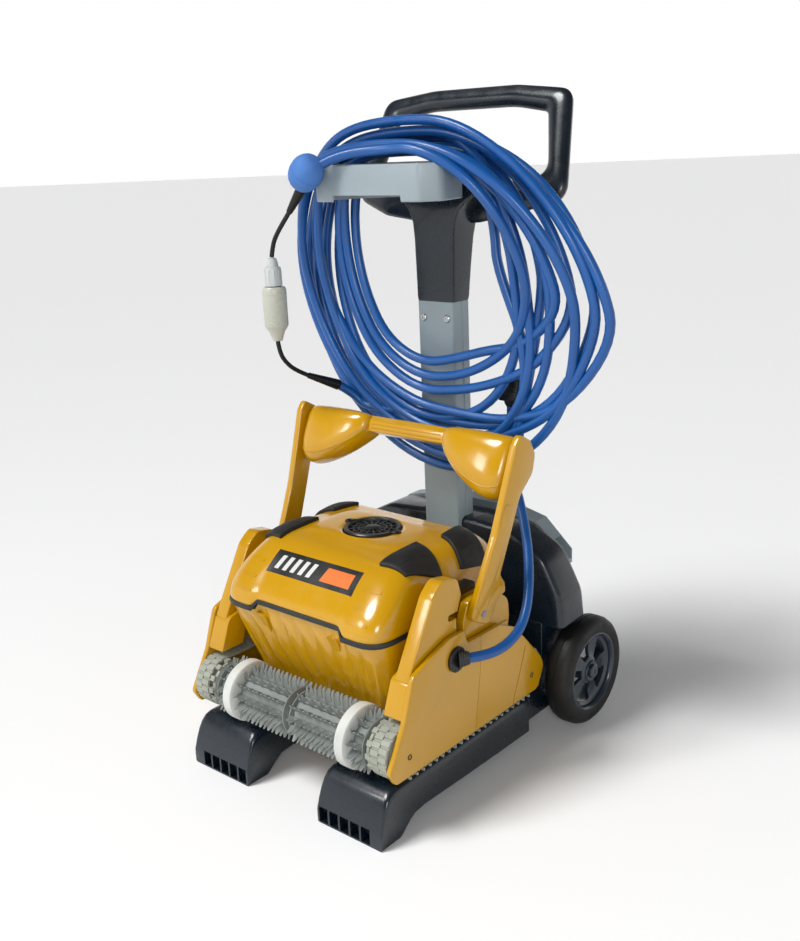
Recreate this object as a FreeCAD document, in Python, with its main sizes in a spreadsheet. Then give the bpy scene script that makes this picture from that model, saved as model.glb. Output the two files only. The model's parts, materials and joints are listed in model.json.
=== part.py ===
"""Robotic pool cleaner parked on its two-wheel trolley, with its floating cable hung on the trolley's hook.

Millimetres. +X is the machine's right-hand side, +Y points from the trolley's toes to its wheels, +Z is up.
The origin is on the floor, at the middle of the trolley's length and width.
"""
import FreeCAD
import Part
import math
import os
import re
import Sketcher
from FreeCAD import Placement, Rotation, Vector

SIZES = {
    # trolley
    "trolley_half_length": 318, "fork_inner": 83, "fork_outer": 219, "fork_rear": 85, "fork_top": 89.5,
    "fork_underside": 20, "heel": 46, "base_half_width": 214, "base_front": 135, "base_rear": 246,
    "base_bottom": 34, "arch_front": 137, "arch_rear": 214, "arch_foot": 210, "arch_half_width": 256,
    "arch_top": 376, "shell": 5, "channel_depth": 34, "channel_height": 26, "channel_wall": 3,
    "column_half_width": 39, "column_front": 127, "column_rear": 175, "column_bottom": 198,
    "column_top": 771, "column_wall": 3, "neck_top": 1004, "neck_shoulder": 900, "neck_rear": 196,
    "column_screw_x": 26, "column_screw_z": 742, "column_screw_radius": 3,
    "handle_top_half": 202, "handle_bottom_half": 229, "handle_rise": 208, "handle_depth": 28,
    "handle_front": 175, "handle_foot": 936, "handle_lean": 21, "handle_bar": 34,
    "tray_half_width": 135, "tray_front": -41, "tray_bottom": 950, "tray_top": 1008, "tray_wall": 4,
    "wheel_radius": 101, "rim_radius": 73, "wheel_outer": 275, "wheel_inner": 225, "axle_y": 217,
    "axle_radius": 6, "axle_half_length": 272, "hub_radius": 21, "running_gap": 0.05, "gap": 0.4,
    # robot
    "panel_outer": 231, "panel_inner": 221.5, "brush_front": -257, "brush_rear": 76, "brush_height": 143,
    "brush_axle_radius": 5, "brush_core": 30, "brush_radius": 52, "ring_radius": 53, "ring_inner": 119,
    "ring_outer": 141, "brush_start": 6, "brush_end": 168, "pulley_start": 172, "blade": 3,
    "track_start": 187, "track_end": 220.5, "track_inside": 38.4, "track_outside": 45, "pulley_radius": 38,
    "seam": 300, "gasket_height": 6, "hull_bottom": 112, "hull_front": -256, "hull_rear": 82,
    "hull_half_width": 176, "hull_low_half": 160, "hull_knee": 150, "hull_low_front": -198,
    "hull_low_rear": 17, "lid_wall": 4, "lid_half_width": 178,
    "lid_shoulder": 362, "lid_top": 405, "lid_top_half": 150, "lid_top_front": -172, "lid_top_rear": 34,
    "grille_y": -63, "grille_radius": 49, "hinge_y": 96, "hinge_height": 303, "hinge_radius": 3,
    "knuckle": 8, "pad_height": 6, "pivot_y": -63, "pivot_height": 307, "pivot_radius": 6,
    "arm_inner": 219.5, "arm_thickness": 13, "arm_splay": 16, "arm_width": 60, "arm_reach": 300,
    "frame_lean": 25.5, "grip_low": 256, "grip_high": 284, "grip_front": -20, "grip_rear": 14,
    "float_inner": 82, "float_front": -42, "float_rear": 18, "gland_y": -136, "gland_height": 256,
    # floating cable
    "cable_radius": 8.2, "tail_radius": 4, "swivel_x": -219, "swivel_y": -48, "swivel_low": 712,
    "swivel_joint": 808, "swivel_top": 857, "swivel_radius": 21.5, "ball_radius": 28,
    "coil_front": -32, "coil_low_front": 97, "coil_rear": 121,
}

doc = FreeCAD.newDocument("pool_cleaner")
sheet = doc.addObject("Spreadsheet::Sheet", "Sizes")
for row, (alias, number) in enumerate(SIZES.items(), 1):
    sheet.set(f"A{row}", alias)
    sheet.set(f"B{row}", str(number))
    sheet.setAlias(f"B{row}", alias)
doc.recompute()

nodes = []


def size(alias):
    """A driving size, read from the sheet."""
    return float(sheet.get(alias))


def bind(text):
    """The sheet's expression for a short sum of driving sizes."""
    return re.sub(r"[a-z_]+", lambda word: "Sizes." + word.group(0), text)


def node(piece, label):
    """Names a finished sub-part."""
    piece.Label = label
    nodes.append(piece)
    return piece


# ---- primitives -------------------------------------------------------------------------------------------
def box(x, y, z):
    """A block between two corners, each side given as its low and high expression."""
    block = doc.addObject("Part::Box", "block")
    sides = (("Length", "x", x), ("Width", "y", y), ("Height", "z", z))
    for side, axis, (low, high) in sides:
        block.setExpression(side, bind(f"({high}) - ({low})"))
        block.setExpression(f"Placement.Base.{axis}", bind(low))
    return block


def rod(axis, radius, start, end, across):
    """A round bar along an axis, from start to end; across gives its centre's two other coordinates."""
    bar = doc.addObject("Part::Cylinder", "bar")
    turn = {"X": (Vector(0, 1, 0), 90), "Y": (Vector(1, 0, 0), -90), "Z": (Vector(0, 0, 1), 0)}[axis]
    bar.Placement = Placement(Vector(), Rotation(*turn))
    bar.setExpression("Radius", bind(radius))
    bar.setExpression("Height", bind(f"({end}) - ({start})"))
    others = [name for name in "xyz" if name != axis.lower()]
    for name, text in [(axis.lower(), start), *zip(others, across)]:
        bar.setExpression(f"Placement.Base.{name}", bind(text))
    return bar


def fuse(*pieces):
    joined = doc.addObject("Part::MultiFuse", "joined")
    joined.Shapes = list(pieces)
    return joined


def cut(base, *tools):
    rest = doc.addObject("Part::Cut", "rest")
    rest.Base = base
    rest.Tool = tools[0] if len(tools) == 1 else fuse(*tools)
    return rest


def group(*pieces):
    """Separate solids kept in one node."""
    together = doc.addObject("Part::Compound", "together")
    together.Links = list(pieces)
    return together


# ---- sketched bodies --------------------------------------------------------------------------------------
def sketch_on(body, plane_role, shift):
    """A sketch on one of the body's own planes, moved along that plane's normal."""
    plane = next(item for item in body.Origin.OriginFeatures if item.Role == plane_role)
    sketch = body.newObject("Sketcher::SketchObject", "sketch")
    sketch.AttachmentSupport = [(plane, "")]
    sketch.MapMode = "FlatFace"
    sketch.setExpression("AttachmentOffset.Base.z", bind(shift))
    return sketch


def outline(body, plane_role, points, shift="0"):
    """A closed outline of straight sides, every corner tied to the sheet."""
    sketch = sketch_on(body, plane_role, shift)
    count = len(points)
    turn = 2 * math.pi / count
    seeds = [Vector(100 * math.cos(turn * n), 100 * math.sin(turn * n), 0) for n in range(count)]
    sketch.addGeometry([Part.LineSegment(seeds[n], seeds[(n + 1) % count]) for n in range(count)], False)
    ties = [Sketcher.Constraint("Coincident", n, 2, (n + 1) % count, 1) for n in range(count)]
    for n, seed in enumerate(seeds):
        ties.append(Sketcher.Constraint("DistanceX", -1, 1, n, 1, seed.x))
        ties.append(Sketcher.Constraint("DistanceY", -1, 1, n, 1, seed.y))
    sketch.addConstraint(ties)
    for n, corner in enumerate(points):
        for axis, text in enumerate(corner):
            sketch.setExpression(f"Constraints[{count + 2 * n + axis}]", bind(text))
    return sketch


def circles(body, plane_role, centre, radii, shift="0"):
    """Concentric circles: a disc, or a ring when two radii are given."""
    sketch = sketch_on(body, plane_role, shift)
    for n, radius in enumerate(radii):
        sketch.addGeometry(Part.Circle(Vector(), Vector(0, 0, 1), 20 - 8 * n), False)
        ties = [("DistanceX", centre[0]), ("DistanceY", centre[1])]
        for axis, text in ties:
            tie = sketch.addConstraint(Sketcher.Constraint(axis, -1, 1, n, 3, 1.0))
            sketch.setExpression(f"Constraints[{tie}]", bind(text))
        tie = sketch.addConstraint(Sketcher.Constraint("Radius", n, 20 - 8 * n))
        sketch.setExpression(f"Constraints[{tie}]", bind(radius))
    return sketch


def new_body(label):
    return node(doc.addObject("PartDesign::Body", "body"), label)


def extrude(body, kind, sketch, length, reverse=False):
    """A Pad or a Pocket of a sketch."""
    feature = body.newObject(f"PartDesign::{kind}", kind.lower())
    feature.Profile = sketch
    feature.Reversed = reverse
    feature.setExpression("Length", bind(length))
    body.Tip = feature
    return feature


def pad(body, sketch, length, reverse=False):
    return extrude(body, "Pad", sketch, length, reverse)


def pocket(body, sketch, length, reverse=False):
    return extrude(body, "Pocket", sketch, length, reverse)


def revolve(body, sketch):
    """A full turn of a sketch about the body's own X axis."""
    axis = next(item for item in body.Origin.OriginFeatures if item.Role == "X_Axis")
    feature = body.newObject("PartDesign::Revolution", "revolution")
    feature.Profile = sketch
    feature.ReferenceAxis = (axis, [""])
    body.Tip = feature
    return feature


def repeat_round(body, features, axis_role, count):
    """Repeats features evenly round one of the body's own axes."""
    axis = next(item for item in body.Origin.OriginFeatures if item.Role == axis_role)
    pattern = body.newObject("PartDesign::PolarPattern", "pattern")
    pattern.Originals = features
    pattern.Axis = (axis, [""])
    pattern.Occurrences = count
    pattern.Angle = 360
    body.Tip = pattern
    return pattern


def loft(body, kind, sketches):
    """An additive or subtractive loft with straight walls between its sketches."""
    feature = body.newObject(f"PartDesign::{kind}", "loft")
    feature.Profile = sketches[0]
    feature.Sections = sketches[1:]
    feature.Ruled = True
    body.Tip = feature
    return feature


def round_edges(body, radius, chosen):
    """Rounds those edges of the body's last feature that the test picks."""
    doc.recompute()
    base = body.Tip
    names = [f"Edge{n}" for n, edge in enumerate(base.Shape.Edges, 1) if chosen(edge)]
    feature = body.newObject("PartDesign::Fillet", "fillet")
    feature.Base = (base, names)
    feature.Radius = radius
    body.Tip = feature
    return feature


def along(axis):
    """A test that picks straight edges parallel to an axis."""
    def test(edge):
        if edge.Curve.TypeId != "Part::GeomLine":
            return False
        return abs(edge.tangentAt(edge.FirstParameter).dot(axis)) > 0.999
    return test


def rectangle(x, y):
    """The four corners of a rectangle, each side given as its low and high expression."""
    return [(x[0], y[0]), (x[1], y[0]), (x[1], y[1]), (x[0], y[1])]


def mirrored(points):
    """A symmetric outline from its right-hand half, listed upwards."""
    return points + [(f"-({across})", up) for across, up in reversed(points)]


ALONG_X = along(Vector(1, 0, 0))
ALONG_Y = along(Vector(0, 1, 0))
ALONG_Z = along(Vector(0, 0, 1))
SIDES = {"left": -1, "right": 1}


# ---- trolley ----------------------------------------------------------------------------------------------
def fork(side):
    """A long foot under the robot: flat top, a sloping toe, and a short heel that stands on the floor."""
    body = new_body(f"fork_{side}")
    toe = "-trolley_half_length"
    profile = [
        (toe, "0"), (f"{toe} + heel", "0"), (f"{toe} + heel + 34", "fork_underside + 8"),
        ("fork_rear - 0.4", "fork_underside"), ("fork_rear - 0.4", "fork_top"), (f"{toe} + 60", "fork_top"),
        (f"{toe} + 36", "fork_top - 12"),
    ]
    start = "fork_inner" if side == "right" else "-fork_outer"
    pad(body, outline(body, "YZ_Plane", profile, start), "fork_outer - fork_inner")
    round_edges(body, 9, lambda edge: not ALONG_X(edge) and edge.BoundBox.ZMin > 40 and edge.BoundBox.YMax < 80)


def base_arch():
    """The moulded housing between the wheels: a box that carries the axle, under an arch over both wheels."""
    body = new_body("base_arch")
    rise = [
        ("arch_half_width", "arch_foot"), ("arch_half_width - 10", "arch_foot + 60"),
        ("arch_half_width - 46", "arch_top - 44"), ("arch_half_width - 112", "arch_top - 8"),
        ("60", "arch_top"),
    ]
    pad(body, outline(body, "XZ_Plane", mirrored(rise), "-arch_rear"), "arch_rear - arch_front")
    inside = [
        ("arch_half_width - shell", "arch_foot - 1"), ("arch_half_width - 10 - shell", "arch_foot + 60"),
        ("arch_half_width - 50", "arch_top - 49"), ("arch_half_width - 115", "arch_top - 8 - shell"),
        ("60", "arch_top - shell"),
    ]
    pocket(body, outline(body, "XZ_Plane", mirrored(inside), "-arch_rear"), "arch_rear - arch_front - shell", True)
    block = [
        ("fork_rear", "base_bottom"), ("base_rear", "base_bottom"), ("base_rear", "arch_foot + shell"),
        ("base_front", "arch_foot + shell"), ("base_front", "fork_top - 3"), ("fork_rear", "fork_top - 3"),
    ]
    pad(body, outline(body, "YZ_Plane", block, "-base_half_width"), "2 * base_half_width")
    hollow = [
        ("fork_rear + shell", "base_bottom - 1"), ("base_rear - shell", "base_bottom - 1"),
        ("base_rear - shell", "arch_foot"), ("base_front + shell", "arch_foot"),
        ("base_front + shell", "fork_top - 3 - shell"), ("fork_rear + shell", "fork_top - 3 - shell"),
    ]
    inside_base = outline(body, "YZ_Plane", hollow, "-base_half_width + shell")
    pocket(body, inside_base, "2 * (base_half_width - shell)", True)
    slot = rectangle(
        ("-column_half_width - gap", "column_half_width + gap"), ("column_front - gap", "column_rear + gap"))
    pocket(body, outline(body, "XY_Plane", slot, "arch_top + 10"), "arch_top + 10 - column_bottom")
    bore = circles(body, "YZ_Plane", ("axle_y", "wheel_radius"), ["axle_radius"], "-base_half_width - 10")
    pocket(body, bore, "2 * base_half_width + 20", True)


def rear_channel():
    """A light square tube, bent to follow the back of the arch, open at both ends."""
    body = new_body("rear_channel")

    def band(low, high, spread):
        up = [(f"base_half_width - 8 + {spread}", "290"), ("150", "342"), ("60", "362")]
        top = [(x, f"{z} + {high}") for x, z in up]
        under = [(x, f"{z} + {low}") for x, z in reversed(up)]
        left = [(f"-({x})", z) for x, z in reversed(top)]
        left_under = [(f"-({x})", z) for x, z in reversed(under)]
        return top + left + left_under + under

    start = "arch_rear + gap"
    outer = outline(body, "XZ_Plane", band("0", "channel_height", "0"), f"-({start} + channel_depth)")
    pad(body, outer, "channel_depth")
    bore = band("channel_wall", "channel_height - channel_wall", "6")
    inner = outline(body, "XZ_Plane", bore, f"-({start} + channel_depth - channel_wall)")
    pocket(body, inner, "channel_depth - 2 * channel_wall", True)


def column():
    """The light lower mast, a square tube that stands in the base."""
    body = new_body("column")
    section = rectangle(("-column_half_width", "column_half_width"), ("column_front", "column_rear"))
    pad(body, outline(body, "XY_Plane", section, "column_bottom"), "column_top - column_bottom")
    round_edges(body, 7, ALONG_Z)
    bore = rectangle(
        ("-column_half_width + column_wall", "column_half_width - column_wall"),
        ("column_front + column_wall", "column_rear - column_wall"))
    pocket(body, outline(body, "XY_Plane", bore, "column_top"), "column_top - column_bottom")
    for sign in ("-", ""):
        centre = (f"{sign}column_screw_x", "column_screw_z")
        hole = circles(body, "XZ_Plane", centre, ["column_screw_radius"], "-column_front - column_wall - 1")
        pocket(body, hole, "column_wall + 2", True)


def column_screws():
    """Two pan-head screws through the column's front wall."""
    screws = []
    for sign in ("-", ""):
        across = (f"{sign}column_screw_x", "column_screw_z")
        head = rod("Y", "2 * column_screw_radius", "column_front - 3", "column_front", across)
        shank = rod("Y", "column_screw_radius", "column_front - 1", "column_front + 18", across)
        screws.append(fuse(head, shank))
    node(group(*screws), "column_screws")


def loop_solid(grow):
    """The trolley handle's outer loop, flat, before it is leaned back."""
    loop = doc.addObject("PartDesign::Body", "loop")
    right = [
        ("44", "-46"), ("handle_bottom_half - 22", "2"), ("handle_bottom_half", "34"),
        ("handle_top_half + 6", "handle_rise - 20"), ("handle_top_half - 24", "handle_rise - 4"),
        ("40", "handle_rise"),
    ]
    pad(loop, outline(loop, "XZ_Plane", mirrored(right), "-handle_depth"), f"handle_depth + {grow}")
    return loop


def trolley_handle():
    """The carrying loop at the top of the mast, leaned back."""
    loop = loop_solid("0")
    node(loop, "trolley_handle")
    opening = [
        ("60", "42"), ("handle_bottom_half - 60", "52"), ("handle_bottom_half - 40", "76"),
        ("handle_top_half - 34", "handle_rise - 52"), ("handle_top_half - 48", "handle_rise - handle_bar - 2"),
        ("40", "handle_rise - handle_bar + 2"),
    ]
    pocket(loop, outline(loop, "XZ_Plane", mirrored(opening), "-handle_depth - 1"), "handle_depth + 2", True)
    round_edges(loop, 6, lambda edge: not ALONG_Y(edge) and edge.BoundBox.ZMin > 20)
    loop.Placement = Placement(Vector(), Rotation(Vector(1, 0, 0), -size("handle_lean")))
    loop.setExpression("Placement.Base.y", bind("handle_front"))
    loop.setExpression("Placement.Base.z", bind("handle_foot"))


def neck():
    """The dark upper mast: a tongue inside the column, a shank that widens, and a head against the handle."""
    body = doc.addObject("PartDesign::Body", "mast_core")
    low = rectangle(("-column_half_width - 2", "column_half_width + 2"), ("column_front", "column_rear + 2"))
    high = rectangle(("-column_half_width - 5", "column_half_width + 5"), ("column_front", "neck_rear"))
    foot = outline(body, "XY_Plane", low, "column_top + 0.2")
    shoulder = outline(body, "XY_Plane", high, "neck_shoulder")
    loft(body, "AdditiveLoft", [foot, shoulder])
    pad(body, outline(body, "XY_Plane", high, "neck_shoulder"), "neck_top - neck_shoulder")
    round_edges(body, 6, lambda edge: edge.Curve.TypeId == "Part::GeomLine"
                and edge.BoundBox.ZLength > 50 and edge.BoundBox.YMax < size("column_front") + 1)
    tongue = rectangle(
        ("-column_half_width + column_wall + gap", "column_half_width - column_wall - gap"),
        ("column_front + column_wall + gap", "column_rear - column_wall - gap"))
    pad(body, outline(body, "XY_Plane", tongue, "column_top - 90"), "92")
    for sign in ("-", ""):
        centre = (f"{sign}column_screw_x", "column_screw_z")
        hole = circles(body, "XZ_Plane", centre, ["column_screw_radius"], "-column_front - 30")
        pocket(body, hole, "30", True)
    seat = loop_solid("0.2")
    seat.Placement = Placement(
        Vector(0, size("handle_front"), size("handle_foot")), Rotation(Vector(1, 0, 0), -size("handle_lean")))
    node(cut(body, seat), "neck")


def hook_tray():
    """The light hook that the cable hangs on: a shallow tray turned over, open below."""
    body = new_body("hook_tray")
    plan = mirrored([
        ("tray_half_width - 26", "tray_front"), ("tray_half_width", "tray_front + 30"),
        ("tray_half_width - 22", "column_front - 60"), ("column_half_width + 5", "column_front - 0.2"),
    ])
    pad(body, outline(body, "XY_Plane", plan, "tray_bottom"), "tray_top - tray_bottom")
    round_edges(body, 8, lambda edge: edge.BoundBox.ZMin > size("tray_top") - 1 and edge.BoundBox.YMax < 100)
    hollow = mirrored([
        ("tray_half_width - 30", "tray_front + tray_wall"), ("tray_half_width - tray_wall", "tray_front + 32"),
        ("tray_half_width - 22 - tray_wall", "column_front - 62"), ("column_half_width", "column_front - 12"),
    ])
    pocket(body, outline(body, "XY_Plane", hollow, "tray_bottom"), "tray_top - tray_bottom - tray_wall", True)
    notch = rectangle(("-74", "74"), ("tray_bottom - 1", "tray_bottom + 10"))
    pocket(body, outline(body, "XZ_Plane", notch, "-tray_front - tray_wall - 1"), "tray_wall + 3", True)


def axle_and_caps():
    """The steel axle across the base, and the cap pressed on each end."""
    along_axle = ("axle_y", "wheel_radius")
    node(rod("X", "axle_radius", "-axle_half_length", "axle_half_length", along_axle), "axle")
    caps = []
    for sign, start, end in (("", "wheel_outer - 5.5", "wheel_outer"), ("-", "-wheel_outer", "-wheel_outer + 5.5")):
        disc = rod("X", "13", start, end, along_axle)
        socket = rod("X", "axle_radius", "-axle_half_length", "axle_half_length", along_axle)
        caps.append(cut(disc, socket))
    node(group(*caps), "axle_caps")


def wheel(side):
    """A five-spoke rim on the axle, and the tyre round it. Both are turned about the wheel's own centre."""
    sign = SIDES[side]
    rim = new_body(f"rim_{side}")
    tyre = new_body(f"tyre_{side}")
    bore = "axle_radius + running_gap"
    half = "(wheel_outer - wheel_inner) / 2"
    section = [
        (f"-{half} + 2", bore), (f"{half} - 6", bore), (f"{half} - 6", "hub_radius"), ("8", "hub_radius"),
        ("8", "rim_radius - 9"), (f"{half} - 3", "rim_radius - 6"), (f"{half} - 3", "rim_radius"),
        (f"-{half} + 3", "rim_radius"), (f"-{half} + 3", "rim_radius - 6"), ("-2", "rim_radius - 9"),
        ("-2", "hub_radius"), (f"-{half} + 2", "hub_radius"),
    ]
    revolve(rim, outline(rim, "XY_Plane", section))
    window = [("-15", "hub_radius + 6"), ("15", "hub_radius + 6"), ("27", "rim_radius - 13"),
              ("-27", "rim_radius - 13")]
    opening = pocket(rim, outline(rim, "YZ_Plane", window, "12"), "20")
    repeat_round(rim, [opening], "X_Axis", 5)
    band = [
        (f"-{half}", "rim_radius"), (f"{half}", "rim_radius"), (f"{half}", "wheel_radius - 12"),
        (f"{half} - 8", "wheel_radius"), (f"-{half} + 8", "wheel_radius"), (f"-{half}", "wheel_radius - 12"),
    ]
    revolve(tyre, outline(tyre, "XY_Plane", band))
    for body in (rim, tyre):
        body.Placement = Placement(Vector(), Rotation(Vector(0, 0, 1), 0 if sign > 0 else 180))
        middle = "(wheel_outer + wheel_inner) / 2"
        body.setExpression("Placement.Base.x", bind(f"{sign} * {middle}"))
        body.setExpression("Placement.Base.y", bind("axle_y"))
        body.setExpression("Placement.Base.z", bind("wheel_radius"))


# ---- robot ------------------------------------------------------------------------------------------------
HULL_LOW = ("hull_low_half", "hull_low_front", "hull_low_rear")
HULL_RIM = ("hull_half_width", "hull_front", "hull_rear")


def hull_section(body, height, sides, inset):
    """The lower hull's plan at one height, with its front corners cut off."""
    half, front, rear = sides
    plan = [
        (f"{half} - {inset}", f"{front} + {inset} + 22"), (f"{half} - {inset}", f"{rear} - {inset}"),
        (f"-{half} + {inset}", f"{rear} - {inset}"), (f"-{half} + {inset}", f"{front} + {inset} + 22"),
        (f"-{half} + {inset} + 30", f"{front} + {inset}"), (f"{half} - {inset} - 30", f"{front} + {inset}"),
    ]
    return outline(body, "XY_Plane", plan, height)


def knuckles(centres, reach):
    """Hinge eyes on the lid's axis, each on a lug that reaches forward to its shell."""
    eyes = []
    for centre in centres:
        span = (f"{centre} - 15", f"{centre} + 15")
        eyes.append(rod("X", "knuckle", *span, ("hinge_y", "hinge_height")))
        eyes.append(box(span, ("hinge_y - knuckle - 9", "hinge_y"), reach))
    return eyes


def lower_hull():
    """The tub under the seam, open at the top."""
    tub = doc.addObject("PartDesign::Body", "tub")
    levels = (("hull_bottom", HULL_LOW), ("hull_knee", HULL_LOW), ("seam", HULL_RIM))
    outer = [hull_section(tub, height, sides, "0") for height, sides in levels]
    loft(tub, "AdditiveLoft", outer)
    levels = (("hull_bottom + lid_wall", HULL_LOW), ("hull_knee", HULL_LOW), ("seam + 1", HULL_RIM))
    inner = [hull_section(tub, height, sides, "lid_wall") for height, sides in levels]
    loft(tub, "SubtractiveLoft", inner)
    eyes = knuckles(("-116", "116"), ("hinge_height - knuckle", "hinge_height - 3"))
    bore = rod("X", "hinge_radius", "-200", "200", ("hinge_y", "hinge_height"))
    node(cut(fuse(tub, *eyes), bore), "lower_hull")


def lid_gasket():
    """The dark seal between the tub and the lid."""
    body = new_body("lid_gasket")
    pad(body, hull_section(body, "seam", HULL_RIM, "0"), "gasket_height")
    pocket(body, hull_section(body, "seam + gasket_height", HULL_RIM, "10"), "gasket_height")


def lid_section(body, height, half, front, rear, corner, inset):
    plan = [
        (f"{half} - {inset}", f"{front} + {inset} + {corner}"), (f"{half} - {inset}", f"{rear} - {inset}"),
        (f"-{half} + {inset}", f"{rear} - {inset}"), (f"-{half} + {inset}", f"{front} + {inset} + {corner}"),
        (f"-{half} + {inset} + {corner}", f"{front} + {inset}"),
        (f"{half} - {inset} - {corner}", f"{front} + {inset}"),
    ]
    return outline(body, "XY_Plane", plan, height)


def lid():
    """The domed cover over the pump and the filters, hinged at the back, with the outlet's round hole."""
    shell = doc.addObject("PartDesign::Body", "shell")
    levels = [
        ("seam + gasket_height + gap", "lid_half_width", "hull_front - 6", "hull_rear + 2", "26"),
        ("lid_shoulder", "lid_half_width - 4", "hull_front + 30", "hull_rear - 14", "24"),
        ("lid_top", "lid_top_half", "lid_top_front", "lid_top_rear", "20"),
    ]
    outer = [lid_section(shell, *level, "0") for level in levels]
    inner = [lid_section(shell, f"{level[0]} - lid_wall", *level[1:], "lid_wall") for level in levels]
    loft(shell, "AdditiveLoft", outer)
    loft(shell, "SubtractiveLoft", inner)
    hole = circles(shell, "XY_Plane", ("0", "grille_y"), ["grille_radius + gap"], "lid_top + 1")
    pocket(shell, hole, "lid_wall + 10")
    eyes = knuckles(("-76", "76"), ("hinge_height + 4", "hinge_height + knuckle"))
    bore = rod("X", "hinge_radius + running_gap", "-200", "200", ("hinge_y", "hinge_height"))
    node(cut(fuse(shell, *eyes), bore), "lid")


def lid_hinge_pin():
    node(rod("X", "hinge_radius", "-131", "131", ("hinge_y", "hinge_height")), "lid_hinge_pin")


def corner_pads():
    """Four rubber bumpers on the lid's top corners."""
    pads = []
    for sign in ("-", ""):
        for front, rear in (("lid_top_front + 4", "lid_top_front + 84"), ("lid_top_rear - 62", "lid_top_rear - 2")):
            ends = [f"{sign}(lid_top_half - 2)", f"{sign}(lid_top_half - 70)"]
            across = ends if sign == "-" else ends[::-1]
            block = box(tuple(across), (front, rear), ("lid_top", "lid_top + pad_height"))
            pads.append(block)
    node(group(*pads), "corner_pads")


def outlet_grille():
    """The dark round grille over the pump's outlet, with two screw ears and radial slots."""
    body = new_body("outlet_grille")
    pad(body, circles(body, "XY_Plane", ("0", "0"), ["grille_radius"], "-4"), "6")
    slot = [("-2.5", "16"), ("2.5", "16"), ("6", "grille_radius - 7"), ("-6", "grille_radius - 7")]
    opening = pocket(body, outline(body, "XY_Plane", slot, "3"), "10")
    repeat_round(body, [opening], "Z_Axis", 12)
    ears = rectangle(("-grille_radius - 9", "grille_radius + 9"), ("-9", "9"))
    ear_pad = pad(body, outline(body, "XY_Plane", ears, "0.2"), "1.8")
    clear = circles(body, "XY_Plane", ("0", "0"), ["14"], "2.1")
    pocket(body, clear, "0.6")
    ear_pad.Refine = True
    body.setExpression("Placement.Base.y", bind("grille_y"))
    body.setExpression("Placement.Base.z", bind("lid_top"))


def impeller():
    """A five-blade propeller under the grille."""
    body = new_body("impeller")
    pad(body, circles(body, "XY_Plane", ("0", "0"), ["13", "4 + running_gap"]), "24")
    blade = [("-3", "12"), ("3", "12"), ("9", "42"), ("1", "42")]
    vane = pad(body, outline(body, "XY_Plane", blade, "4"), "16")
    repeat_round(body, [vane], "Z_Axis", 5)
    body.setExpression("Placement.Base.y", bind("grille_y"))
    body.setExpression("Placement.Base.z", bind("lid_top - 36"))


def drive_unit():
    """Inside the tub: the sealed motor box, the pump motor with its shaft, and a drive motor each side."""
    walls = (("-58", "58"), ("-120", "-6"), ("hull_bottom + lid_wall + gap", "250"))
    node(box(*walls), "motor_unit")
    centre = ("0", "grille_y")
    motor = rod("Z", "34", "250.4", "350", centre)
    shaft = rod("Z", "4", "349", "lid_top - 14", centre)
    node(fuse(motor, shaft), "pump_motor")
    drives = [rod("X", "19", *span, ("grille_y", "138")) for span in (("58.4", "140"), ("-140", "-58.4"))]
    node(group(*drives), "drive_motors")


def filter_basket(side):
    """A lift-out debris basket, open at the top."""
    body = new_body(f"filter_basket_{side}")
    low, high = ("64", "146") if side == "right" else ("-146", "-64")
    pad(body, outline(body, "XY_Plane", rectangle((low, high), ("-176", "8")), "166"), "126")
    hollow = rectangle((f"{low} + 3", f"{high} - 3"), ("-173", "5"))
    pocket(body, outline(body, "XY_Plane", hollow, "292"), "123")


def side_panel(side):
    """The cheek over a track: a flat cover, a mudguard over each end of the track, and the handle's bracket."""
    body = new_body(f"side_panel_{side}")
    right = side == "right"

    def slab(profile, inner, outer):
        start = inner if right else f"-{outer}"
        return pad(body, outline(body, "YZ_Plane", profile, start), f"{outer} - {inner}")

    cover = [
        ("-300", "128"), ("-272", "106"), ("100", "106"), ("119", "142"), ("106", "168"), ("27", "250"),
        ("-16", "270"), ("-104", "270"), ("-112", "292"), ("-150", "292"), ("-196", "276"), ("-240", "256"),
        ("-264", "198"),
    ]
    slab(cover, "panel_inner", "panel_outer")
    guard = [("-264", "198"), ("-204", "198"), ("-204", "262"), ("-240", "256")]
    slab(guard, "185", "panel_outer")
    bracket = [("-98", "262"), ("-28", "262"), ("-28", "290"), ("-40", "328"), ("-86", "328"), ("-98", "300")]
    slab(bracket, "204", "218.8")
    tie = [("-98", "262"), ("-28", "262"), ("-28", "270"), ("-98", "270")]
    slab(tie, "204", "panel_outer")
    upright = [
        ("-196", "262"), ("-124", "262"), ("-124", "330"), ("-136", "374"), ("-152", "380"), ("-170", "362"),
    ]
    slab(upright, "196", "218.8")
    foot = [("-204", "232"), ("-124", "232"), ("-124", "270"), ("-204", "270")]
    slab(foot, "196", "panel_outer")
    start = "180" if right else "-240"
    for y, z, radius in (
            ("pivot_y", "pivot_height", "pivot_radius"), ("brush_front", "brush_height", "3"),
            ("brush_rear", "brush_height", "3"), ("gland_y", "gland_height", "15")):
        pocket(body, circles(body, "YZ_Plane", (y, z), [radius], start), "60", True)


def track(side):
    """The drive belt round both end pulleys of one side."""
    start, end = ("track_start", "track_end") if side == "right" else ("-track_end", "-track_start")

    def stadium(radius, low, high):
        ends = [rod("X", radius, low, high, (y, "brush_height")) for y in ("brush_front", "brush_rear")]
        height = (f"brush_height - {radius}", f"brush_height + {radius}")
        middle = box((low, high), ("brush_front", "brush_rear"), height)
        return fuse(*ends, middle)

    inside = stadium("track_inside", f"{start} - 1", f"{end} + 1")
    node(cut(stadium("track_outside", start, end), inside), f"track_{side}")


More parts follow.
